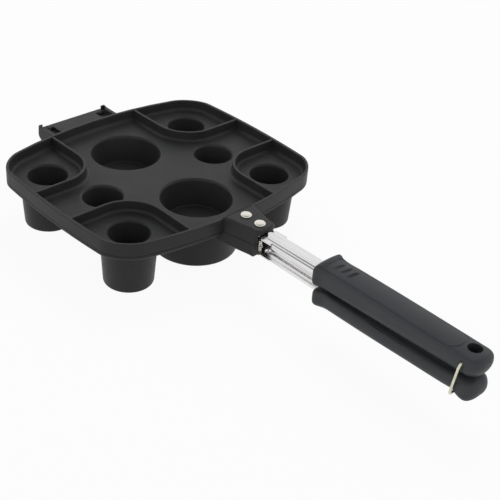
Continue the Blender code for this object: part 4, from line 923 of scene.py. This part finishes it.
def make_shank(side):
    """A pressed shank: an open half surface, mirrored and thickened. Side 1 is the upper one, -1 the lower."""
    shape = bmesh.new()
    rows = []
    for station in shank_stations():
        section = shank_section(station, side)
        rows.append([shape.verts.new((x, y, side * z - PARTING_DROP)) for x, y, z in section])
    for row, following in zip(rows, rows[1:]):
        for i in range(len(row) - 1):
            shape.faces.new((row[i], row[i + 1], following[i + 1], following[i]))
    item = object_from_bmesh(shape)
    if item.data.polygons[0].normal.z * side < 0:
        item.data.flip_normals()
    mirror = item.modifiers.new("Mirror", "MIRROR")
    mirror.use_axis = (False, True, False)
    mirror.merge_threshold = MERGE_DISTANCE
    solidify = item.modifiers.new("Thickness", "SOLIDIFY")
    solidify.thickness = SHANK_THICKNESS
    solidify.offset = -1.0
    solidify.use_even_offset = True
    bevel = item.modifiers.new("Soft edges", "BEVEL")
    bevel.width = SHEET_BEVEL
    bevel.segments = SHEET_BEVEL_SEGMENTS
    bevel.limit_method = "ANGLE"
    bevel.angle_limit = SHEET_BEVEL_ANGLE
    level = side * SHANK_SHOULDER_RISE - PARTING_DROP
    for x in rivet_places(0.0 if side > 0 else LOWER_RIVET_SHIFT):
        cut_rivet_hole(item, x, level - SHANK_THICKNESS, level + SHANK_THICKNESS)
    return item


def rivet(x, side, stack):
    """A tubular rivet with a low domed head, a collar behind the stack that it holds, and an open tail."""
    collar = stack + FIT_GAP * 2
    collar_end = collar + RIVET_COLLAR_HEIGHT
    tail = collar_end + RIVET_TAIL
    profile = [(RIVET_HEAD_RADIUS * wide, RIVET_HEAD_HEIGHT * high) for wide, high in RIVET_HEAD_SHARES]
    profile += [
        (RIVET_SHAFT_RADIUS, 0.0),
        (RIVET_SHAFT_RADIUS, -collar),
        (RIVET_COLLAR_RADIUS, -collar),
        (RIVET_COLLAR_RADIUS, -collar_end),
        (RIVET_SHAFT_RADIUS, -collar_end),
        (RIVET_SHAFT_RADIUS, -tail),
        (RIVET_HOLLOW_RADIUS, -tail),
        (RIVET_HOLLOW_RADIUS, RIVET_HOLLOW_DEPTH - tail),
        (0.0, RIVET_HOLLOW_DEPTH - tail),
    ]
    item = turned(profile, RIVET_SEGMENTS)
    if side > 0:
        place = Matrix.Translation((x, 0.0, LUG_TOP + FIT_GAP))
    else:
        place = Matrix.Translation((x, 0.0, LUG_BOTTOM - FIT_GAP)) @ Matrix.Rotation(math.pi, 4, "X")
    item.data.transform(place)
    return item


def grip_section(x, half_width, low, high, under_radius, top_radius, crown=0.0):
    """One ring of a grip: a rectangle with a crowned top and two radii for its lower and upper corners."""
    points = []
    under_share, top_share = GRIP_HEIGHT_SHARES
    corners = (
        (1, high, -1, top_radius, top_share),
        (-1, high, -1, top_radius, top_share),
        (-1, low, 1, under_radius, under_share),
        (1, low, 1, under_radius, under_share),
    )
    for corner, (sy, z, inward, radius, share) in enumerate(corners):
        radius_y = min(radius, half_width * GRIP_WIDTH_SHARE)
        radius_z = min(radius, (high - low) * share)
        centre_y = sy * (half_width - radius_y)
        centre_z = z + inward * radius_z
        for cosine, sine in quarter(GRIP_CORNER_STEPS, corner):
            points.append((x, centre_y + radius_y * cosine, centre_z + radius_z * sine))
        if corner == 0:
            edge = points[-1][1]
            shares = [1 - 2 * step / GRIP_CROWN_STEPS for step in range(1, GRIP_CROWN_STEPS)]
            points += [(x, edge * share, high + crown * (1 - share ** 2)) for share in shares]
    return points


def corner_rise(distance, radius):
    """How far a rounded edge draws back from its face, at a distance from the end that it rounds into."""
    if distance >= radius:
        return 0.0
    return radius - math.sqrt(radius ** 2 - (radius - distance) ** 2)


def end_places():
    """The x and the half width of the rings round a grip's end, whose plan has rounded corners."""
    return [
        (GRIP_END - GRIP_END_RADIUS * (1 - sine), GRIP_HALF_WIDTH - GRIP_END_RADIUS * (1 - cosine))
        for cosine, sine in quarter(GRIP_END_STEPS)[1:]
    ]


def eased(table, along, column):
    """A value of a table of shares between its rows, on a smooth curve through them."""
    last = len(table) - 1
    i = max(k for k in range(last) if table[k][0] <= along or k == 0)
    before, here, following, after = (table[min(max(k, 0), last)] for k in (i - 1, i, i + 1, i + 2))
    span = following[0] - here[0]
    t = (along - here[0]) / span
    slope_here = (following[column] - before[column]) / max(following[0] - before[0], span)
    slope_following = (after[column] - here[column]) / max(after[0] - here[0], span)
    return (
        here[column] * (1 + 2 * t) * (1 - t) ** 2 + slope_here * span * t * (1 - t) ** 2
        + following[column] * t ** 2 * (3 - 2 * t) - slope_following * span * t ** 2 * (1 - t)
    )


def alongs(table):
    """Where a grip's rings lie along it: several between each two rows of its table."""
    places = []
    for row, following in zip(table, table[1:]):
        count = max(FEWEST_RINGS, round((following[0] - row[0]) * GRIP_RINGS))
        places += [row[0] + (following[0] - row[0]) * step / count for step in range(count)]
    return places + [table[-1][0]]


def upper_under_radius(x):
    """The rounding of the upper grip's underside, which grows from its front to its end."""
    share = clamped((x - GRIP_START) / GRIP_LENGTH)
    return UPPER_UNDER_FRONT_RADIUS + (UPPER_UNDER_END_RADIUS - UPPER_UNDER_FRONT_RADIUS) * share


def upper_grip_rings():
    """Rings of the upper grip, from its flared front to its round end."""
    face = UPPER_GRIP_GAP - PARTING_DROP
    rings = []
    for along in alongs(UPPER_GRIP_SHARES):
        wide, high, low = (eased(UPPER_GRIP_SHARES, along, column) for column in (1, 2, 3))
        x = GRIP_START + UPPER_GRIP_BODY * along
        rings.append(grip_section(
            x, GRIP_HALF_WIDTH * wide, face + UPPER_GRIP_RISE * low, face + UPPER_GRIP_RISE * high,
            upper_under_radius(x), UPPER_GRIP_TOP_RADIUS, UPPER_GRIP_CROWN,
        ))
    for x, half_width in end_places():
        low = face + corner_rise(GRIP_END - x, UPPER_END_UNDER_RADIUS)
        high = face + UPPER_GRIP_RISE - corner_rise(GRIP_END - x, UPPER_GRIP_TOP_RADIUS)
        crown = UPPER_GRIP_CROWN * min((GRIP_END - x) / UPPER_GRIP_TOP_RADIUS, 1.0)
        rings.append(grip_section(
            x, half_width, low, high, upper_under_radius(x), UPPER_GRIP_TOP_RADIUS, crown
        ))
    return rings


def lower_grip_rings():
    """Rings of the lower grip, from its flared front to the wire's seat, then its heel and round end."""
    face = -LOWER_GRIP_GAP - PARTING_DROP
    start = GRIP_START + LOWER_GRIP_SETBACK
    seat = BAIL_X - BAIL_REACH * math.sin(BAIL_LEAN)
    rings = []
    for along in alongs(LOWER_GRIP_SHARES):
        wide, high, low = (eased(LOWER_GRIP_SHARES, along, column) for column in (1, 2, 3))
        easing = ramp(along, 0.0, LOWER_TOP_EASE_SHARE)
        top_radius = LOWER_GRIP_TOP_RADIUS + (LOWER_TOP_END_RADIUS - LOWER_GRIP_TOP_RADIUS) * easing
        rings.append(grip_section(
            start + (seat - start) * along, GRIP_HALF_WIDTH * wide,
            face - LOWER_GRIP_DROP * low, face - LOWER_GRIP_DROP * high, LOWER_GRIP_UNDER_RADIUS, top_radius,
        ))
    places = [(seat + (GRIP_END - seat) * share, GRIP_HALF_WIDTH) for share in HEEL_PLACE_SHARES]
    for x, half_width in places + end_places():
        drop = eased(HEEL_SHARES, (x - seat) / (GRIP_END - seat), 1)
        low = face - LOWER_GRIP_DROP * drop + corner_rise(GRIP_END - x, HEEL_END_RADIUS)
        high = face - corner_rise(GRIP_END - x, LOWER_TOP_END_RADIUS)
        rings.append(grip_section(x, half_width, low, high, HEEL_UNDER_RADIUS, LOWER_TOP_END_RADIUS))
    return rings


def tang_socket(side):
    """The pocket in a grip that takes a shank's tang."""
    out = SHANK_HALF_WIDTH + FIT_GAP
    near = side * (SHANK_SHOULDER_RISE - SHANK_LIP_DEPTH - FIT_GAP) - PARTING_DROP
    far = side * (SHANK_SHOULDER_RISE + SHANK_RIB_REAR_RISE + FIT_GAP) - PARTING_DROP
    low, high = sorted((near, far))
    return box(
        (GRIP_START - OVERRUN, -out, low), (GRIP_START + TANG_IN_GRIP + FIT_GAP, out, high)
    )


def make_upper_grip():
    """The upper grip with its socket, hanging hole, bail holes and finger grooves."""
    grip = loft(upper_grip_rings())
    hang_hole = cylinder(
        HANG_HOLE_RADIUS, -OVERRUN - PARTING_DROP, UPPER_GRIP_RISE + OVERRUN,
        (HANG_HOLE_X, HANG_HOLE_SIDE), HANG_HOLE_SEGMENTS,
    )
    side = GRIP_HALF_WIDTH + OVERRUN
    bail_hole = cylinder(
        WIRE_RADIUS + BAIL_HOLE_CLEARANCE, -side, side, (BAIL_X, BAIL_Z), RIVET_SEGMENTS, "Y"
    )
    grooves = [finger_groove(number) for number in range(GROOVE_COUNT)]
    for tool in [tang_socket(1), hang_hole, bail_hole, pad_crease(), *grooves]:
        boolean(grip, tool, "DIFFERENCE")
    return grip


def pad_line():
    """The plan of the line round the upper grip's pad, with rounded corners in front and a round end."""
    front = GRIP_START + PAD_FRONT
    rear = HANG_HOLE_X - PAD_BEFORE_HOLE
    points = []
    for sx, x, radius in ((1, rear, PAD_REAR_RADIUS), (-1, front, PAD_FRONT_RADIUS)):
        for step in range(2 * PAD_STEPS + 1):
            angle = (step / PAD_STEPS - 1) * math.pi / 2
            side = sx * math.copysign(1.0, angle) * (PAD_HALF_WIDTH - radius)
            out = sx * radius * math.cos(angle)
            points.append((x - sx * radius + out, side + sx * radius * math.sin(angle)))
    return points


def pad_crease():
    """A tube along the pad's line that cuts a shallow crease into the grip's rounded top."""
    radius = UPPER_GRIP_TOP_RADIUS
    reach = (radius + PAD_TUBE_RADIUS - PAD_CREASE_DEPTH) / radius
    line = []
    plan = pad_line()
    for (x, y), (next_x, next_y) in zip(plan, plan[1:] + plan[:1]):
        count = max(1, round(math.hypot(next_x - x, next_y - y) / PAD_STEP))
        line += [(x + (next_x - x) * step / count, y + (next_y - y) * step / count) for step in range(count)]
    places = []
    for x, y in line:
        along = (x - GRIP_START) / UPPER_GRIP_BODY
        half_width = GRIP_HALF_WIDTH * eased(UPPER_GRIP_SHARES, along, 1)
        y *= half_width / GRIP_HALF_WIDTH
        top = UPPER_GRIP_GAP - PARTING_DROP + UPPER_GRIP_RISE * eased(UPPER_GRIP_SHARES, along, 2)
        top += UPPER_GRIP_CROWN * max(1 - (y / (half_width - radius)) ** 2, 0.0)
        out = min(max(abs(y) - half_width + radius, 0.0), radius)
        if out > 0:
            y = math.copysign(half_width - radius + out * reach, y)
        places.append((x, y, top - radius + math.sqrt(radius ** 2 - out ** 2) * reach))
    return tube(places, PAD_TUBE_RADIUS, PAD_ROUND_STEPS, True)


def finger_groove(number):
    """A shallow scoop across the top of the upper grip."""
    shape = bmesh.new()
    bmesh.ops.create_uvsphere(shape, u_segments=GROOVE_SEGMENTS, v_segments=GROOVE_RINGS, radius=1.0)
    scale = Matrix.Diagonal((GROOVE_LENGTH / 2, GROOVE_WIDTH / 2, GROOVE_DEPTH * GROOVE_HEIGHT_SHARE))
    bmesh.ops.transform(shape, matrix=scale.to_4x4(), verts=shape.verts)
    bmesh.ops.rotate(shape, verts=shape.verts, matrix=Matrix.Rotation(GROOVE_SKEW, 3, "Z"))
    top = UPPER_GRIP_GAP - PARTING_DROP + UPPER_GRIP_RISE
    x = GRIP_START + GROOVE_FIRST + GROOVE_PITCH * number
    centre = (x, GROOVE_SIDE, top + GROOVE_DEPTH * (GROOVE_HEIGHT_SHARE - 1))
    bmesh.ops.translate(shape, verts=shape.verts, vec=centre)
    return object_from_bmesh(shape)


def make_lower_grip():
    """The lower grip with its socket."""
    grip = loft(lower_grip_rings())
    boolean(grip, tang_socket(-1), "DIFFERENCE")
    return grip


def bail_half(side):
    """Half of the bail's middle line: an end in the hanging hole, a leg and half the bar under the grips."""
    chord = math.sqrt(HANG_HOLE_RADIUS ** 2 - (BAIL_X - HANG_HOLE_X) ** 2)
    end_y = HANG_HOLE_SIDE + side * (chord - BAIL_END_SHOW)
    leg_y = side * (GRIP_HALF_WIDTH + BAIL_SIDE_GAP + WIRE_RADIUS)
    down = Vector((-math.sin(BAIL_LEAN), 0.0, -math.cos(BAIL_LEAN)))
    inner = Vector((BAIL_X, end_y, BAIL_Z))
    upper_corner = Vector((BAIL_X, leg_y, BAIL_Z))
    lower_corner = upper_corner + down * BAIL_REACH
    middle = lower_corner - Vector((0.0, leg_y, 0.0))
    points = [inner]
    points += rounded_corner(inner, upper_corner, lower_corner, BAIL_EYE_BEND)
    points += rounded_corner(upper_corner, lower_corner, middle, BAIL_BEND)
    return points


def rounded_corner(before, corner, after, radius):
    """Points of an arc that rounds a square corner between two straight runs."""
    to_before = (before - corner).normalized()
    to_after = (after - corner).normalized()
    centre = corner + (to_before + to_after) * radius
    arc = quarter(BAIL_BEND_STEPS)
    return [centre - (to_after * cosine + to_before * sine) * radius for cosine, sine in arc]


def make_bail():
    """The wire bail."""
    return tube(bail_half(-1) + bail_half(1)[::-1], WIRE_RADIUS, BAIL_ROUND_STEPS, False)

# Looks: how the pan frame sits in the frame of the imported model
TO_ROW = Matrix.Translation((-PART_MIDDLE, 0.0, FOOT_DROP))
NOISE_LOW = 0.3
NOISE_HIGH = 0.7

# Each material: how metallic and glossy it is; its fields, as kind, features per metre, detail or distortion and
# stretch; the field and the two ends of its colour and of its roughness; its bumps, as field, strength and depth
MATERIALS = {
    # Black non-stick coating on sandblasted cast aluminium: a fine grain, with soft cloudy changes of gloss
    "nonstick_coating": {
        "metal": 0.0,
        "gloss": 0.25,
        "fields": {
            "clouds": ("noise", 45.0, 4.0), "grain": ("noise", 2600.0, 2.0), "speckle": ("noise", 900.0, 3.0),
        },
        "colour": ("clouds", (0.028, 0.029, 0.029), (0.036, 0.036, 0.036)),
        "roughness": ("speckle", 0.40, 0.54),
        "bumps": (("grain", 0.35, 0.00005), ("clouds", 0.25, 0.0004)),
    },
    # Bright rolled steel strip, with fine lines along its length and a faint waviness
    "rolled_steel": {
        "metal": 1.0,
        "gloss": 0.5,
        "fields": {"lines": ("noise", 900.0, 3.0, (0.02, 1.0, 1.0)), "waves": ("noise", 60.0, 2.0)},
        "colour": ("lines", (0.66, 0.65, 0.65), (0.88, 0.87, 0.87)),
        "roughness": ("lines", 0.17, 0.30),
        "bumps": (("lines", 0.06, 0.00003), ("waves", 0.05, 0.0003)),
    },
    # Heat-proof moulding with a fine satin texture and a slightly worn, mottled sheen
    "satin_moulding": {
        "metal": 0.0,
        "gloss": 0.45,
        "fields": {"clouds": ("noise", 55.0, 3.0), "grain": ("noise", 2200.0, 2.0)},
        "colour": ("clouds", (0.037, 0.040, 0.045), (0.046, 0.050, 0.057)),
        "roughness": ("clouds", 0.46, 0.58),
        "bumps": (("grain", 0.30, 0.00005),),
    },
    # Plain pale aluminium with faint rings round the head's middle
    "rivet_metal": {
        "metal": 1.0,
        "gloss": 0.5,
        "fields": {"rings": ("rings", 450.0, 1.5), "grain": ("noise", 1500.0, 3.0)},
        "colour": ("grain", (0.90, 0.87, 0.78), (0.96, 0.94, 0.88)),
        "roughness": ("grain", 0.34, 0.48),
        "bumps": (("rings", 0.12, 0.00004), ("grain", 0.2, 0.00004)),
    },
    # Zinc-plated wire: slightly yellow, with patchy gloss
    "zinc_wire": {
        "metal": 1.0,
        "gloss": 0.5,
        "fields": {"patches": ("noise", 500.0, 4.0)},
        "colour": ("patches", (0.56, 0.55, 0.41), (0.78, 0.77, 0.64)),
        "roughness": ("patches", 0.26, 0.42),
        "bumps": (("patches", 0.2, 0.00004),),
    },
}

# Floor, and the colour that it throws back at the object
FLOOR_HALF_SIZE = 4.0
FLOOR_COLOUR = (0.86, 0.86, 0.86)
FLOOR_BOUNCE = (0.30, 0.30, 0.30)
FLOOR_ROUGHNESS = 0.9
FLOOR_GLOW_SHARE = 0.94

# World and lamps: a lamp's name, energy, size and place
SKY_STRENGTH = 0.70
ZENITH_STRENGTH = 0.12
ZENITH_HEIGHTS = (0.63, 0.86)
LAMPS = (("key", 9.0, 0.9, (-0.45, 0.60, 1.35)),)

# Camera, fitted to the photo: its angles, and the point of the pan frame that it looks at
CAMERA_AZIMUTH = math.radians(43.931)
CAMERA_ELEVATION = math.radians(33.808)
CAMERA_ROLL = math.radians(4.886)
CAMERA_TARGET = (0.1258881, -0.0174941, 0.0)
CAMERA_DISTANCE = 0.780
CAMERA_NEAR = 0.01
CAMERA_SENSOR = 36.0
CAMERA_FOCAL_SHARE = 2.12508
CAMERA_SHIFT = 0.001


def node(tree, kind, links=None, **values):
    """A shader node with its plain properties and inputs set, by name, and its inputs linked."""
    made = tree.nodes.new(kind)
    for key, value in values.items():
        if key in made.inputs:
            made.inputs[key].default_value = value
        else:
            setattr(made, key, value)
    for key, source in (links or {}).items():
        tree.links.new(source, made.inputs[key])
    return made


def field(tree, kind, scale, second, stretch=(1.0, 1.0, 1.0)):
    """A value over the piece's own coordinates: noise and its detail, or rings about Z and their distortion."""
    place = node(tree, "ShaderNodeTexCoord")
    mapping = node(tree, "ShaderNodeMapping", {"Vector": place.outputs["Object"]}, Scale=stretch)
    links = {"Vector": mapping.outputs["Vector"]}
    if kind == "noise":
        return node(tree, "ShaderNodeTexNoise", links, Scale=scale, Detail=second).outputs["Fac"]
    wave = node(tree, "ShaderNodeTexWave", links, wave_type="RINGS", Scale=scale, Distortion=second)
    wave.rings_direction = "Z"
    return wave.outputs["Fac"]


def ranged(tree, source, low, high, from_low=NOISE_LOW, from_high=NOISE_HIGH):
    """A value turned from one range into another."""
    ends = {"From Min": from_low, "From Max": from_high, "To Min": low, "To Max": high}
    return node(tree, "ShaderNodeMapRange", {"Value": source}, **ends).outputs["Result"]


def mixed(tree, factor, first, second):
    """A colour between two, by a value."""
    made = node(tree, "ShaderNodeMix", data_type="RGBA")
    tree.links.new(factor, made.inputs["Factor"])
    made.inputs["A"].default_value = (*first, 1.0)
    made.inputs["B"].default_value = (*second, 1.0)
    return made.outputs["Result"]


def new_material(name):
    """A material with its node tree and shader."""
    made = bpy.data.materials.new(name)
    made.use_nodes = True
    return made, made.node_tree, made.node_tree.nodes["Principled BSDF"]


def material(name):
    """A material as its entry in MATERIALS says."""
    look = MATERIALS[name]
    made, tree, shader = new_material(name)
    shader.inputs["Metallic"].default_value = look["metal"]
    shader.inputs["Specular IOR Level"].default_value = look["gloss"]
    fields = {key: field(tree, *values) for key, values in look["fields"].items()}
    source, dark, pale = look["colour"]
    tree.links.new(mixed(tree, ranged(tree, fields[source], 0.0, 1.0), dark, pale), shader.inputs["Base Color"])
    source, low, high = look["roughness"]
    tree.links.new(ranged(tree, fields[source], low, high), shader.inputs["Roughness"])
    links = {}
    for source, strength, depth in look["bumps"]:
        links["Height"] = fields[source]
        bump = node(tree, "ShaderNodeBump", links, Strength=strength, Distance=depth)
        links["Normal"] = bump.outputs["Normal"]
    tree.links.new(links["Normal"], shader.inputs["Normal"])
    return made


def dressed(item, name, look, body, replaced, origin=None):
    """Turn a shaped piece into its final mesh in the row frame, and hang it on its CAD body."""
    centre = TO_ROW @ Vector(origin) if origin else Vector()
    shape = shaped(item, TO_ROW)
    bmesh.ops.translate(shape, verts=shape.verts, vec=-centre)
    mesh = bpy.data.meshes.new(name)
    shape.to_mesh(mesh)
    shape.free()
    mesh.materials.append(look)
    mesh.shade_smooth()
    mesh.set_sharp_from_angle(angle=SMOOTH_ANGLE)
    piece = linked(name, mesh)
    piece.location = centre
    weighted = piece.modifiers.new("Even shading", "WEIGHTED_NORMAL")
    weighted.keep_sharp = True
    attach(piece, body)
    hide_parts(*replaced)


def make_stage():
    """A plain white floor that shows as the background and keeps a faint shadow."""
    shape = bmesh.new()
    bmesh.ops.create_grid(shape, x_segments=1, y_segments=1, size=FLOOR_HALF_SIZE)
    floor = object_from_bmesh(shape, "floor")
    made, tree, shader = new_material("white_floor")
    shader.inputs["Roughness"].default_value = FLOOR_ROUGHNESS
    paths = node(tree, "ShaderNodeLightPath")
    ways = {0: paths.outputs["Is Camera Ray"], 1: paths.outputs["Is Glossy Ray"]}
    seen = node(tree, "ShaderNodeMath", ways, operation="MAXIMUM").outputs[0]
    tree.links.new(mixed(tree, seen, FLOOR_BOUNCE, FLOOR_COLOUR), shader.inputs["Base Color"])
    share = node(tree, "ShaderNodeMath", {0: seen}, operation="MULTIPLY")
    share.inputs[1].default_value = FLOOR_GLOW_SHARE
    glow = node(tree, "ShaderNodeEmission")
    mix = node(tree, "ShaderNodeMixShader", {"Fac": share.outputs[0], 1: shader.outputs[0], 2: glow.outputs[0]})
    tree.links.new(mix.outputs[0], tree.nodes["Material Output"].inputs["Surface"])
    floor.data.materials.append(made)


def make_light():
    """A white world whose top is darker where metal mirrors it, and soft lamps."""
    world = bpy.data.worlds.new("studio")
    bpy.context.scene.world = world
    world.use_nodes = True
    tree = world.node_tree
    paths = node(tree, "ShaderNodeLightPath")
    place = node(tree, "ShaderNodeTexCoord")
    height = node(tree, "ShaderNodeSeparateXYZ", {"Vector": place.outputs["Generated"]}).outputs["Z"]
    mirrored = ranged(tree, height, 1.0, ZENITH_STRENGTH, *ZENITH_HEIGHTS)
    lit = ranged(tree, paths.outputs["Is Glossy Ray"], SKY_STRENGTH, 1.0, 0.0, 1.0)
    lit = node(tree, "ShaderNodeMath", {0: lit, 1: mirrored}, operation="MULTIPLY").outputs[0]
    strength = node(tree, "ShaderNodeMix", data_type="FLOAT")
    tree.links.new(paths.outputs["Is Camera Ray"], strength.inputs["Factor"])
    tree.links.new(lit, strength.inputs["A"])
    strength.inputs["B"].default_value = 1.0
    background = tree.nodes["Background"]
    background.inputs["Color"].default_value = (1.0, 1.0, 1.0, 1.0)
    tree.links.new(strength.outputs["Result"], background.inputs["Strength"])
    for name, energy, size, place in LAMPS:
        lamp = bpy.data.lights.new(name, "AREA")
        lamp.energy = energy
        lamp.size = size
        holder = linked(name, lamp)
        holder.location = place
        holder.visible_glossy = False
        holder.rotation_euler = (-Vector(place)).to_track_quat("-Z", "Y").to_euler()


def make_camera():
    """The camera at the photo's viewing angle."""
    camera = bpy.data.cameras.new("camera")
    camera.sensor_width = CAMERA_SENSOR
    camera.lens = CAMERA_SENSOR * CAMERA_FOCAL_SHARE
    camera.shift_x = -CAMERA_SHIFT
    camera.shift_y = CAMERA_SHIFT
    camera.clip_start = CAMERA_NEAR
    pose = Matrix.Rotation(CAMERA_AZIMUTH, 4, "Z") @ Matrix.Rotation(math.pi / 2 - CAMERA_ELEVATION, 4, "X")
    pose = pose @ Matrix.Rotation(CAMERA_ROLL, 4, "Z")
    pose.translation = TO_ROW @ Vector(CAMERA_TARGET) + pose.col[2].to_3d() * CAMERA_DISTANCE
    holder = linked("camera", camera)
    holder.matrix_world = pose
    bpy.context.scene.camera = holder


def main():
    """Dress the model, light it and aim the camera."""
    bpy.context.scene.view_settings.view_transform = "Standard"
    looks = {name: material(name) for name in MATERIALS}
    for body, name, look, slot, item in (
        ("lower", "lower_pan", "nonstick_coating", "nonstick_cast", make_lower_pan()),
        ("upper", "upper_pan", "nonstick_coating", "nonstick_cast", make_upper_pan()),
        ("lower", "lower_shank", "rolled_steel", "polished_steel", make_shank(-1)),
        ("upper", "upper_shank", "rolled_steel", "polished_steel", make_shank(1)),
        ("lower", "lower_grip", "satin_moulding", "grip_moulding", make_lower_grip()),
        ("upper", "upper_grip", "satin_moulding", "grip_moulding", make_upper_grip()),
        ("bail", "wire_bail", "zinc_wire", "bail_wire", make_bail()),
    ):
        dressed(item, "look_" + name, looks[look], body, [name])
    for side, body, shift, plate, level in (
        (1, "upper", 0.0, LUG_ROOF, LUG_TOP),
        (-1, "lower", LOWER_RIVET_SHIFT, LUG_FLOOR, LUG_BOTTOM),
    ):
        for place, x in zip(("front", "rear"), rivet_places(shift)):
            name = "%s_rivet_%s" % (body, place)
            item = rivet(x, side, plate + FIT_GAP + SHANK_THICKNESS)
            look = looks["rivet_metal"]
            dressed(item, "look_" + name, look, body, [name], (x, 0.0, level))
    make_stage()
    make_light()
    make_camera()


main()
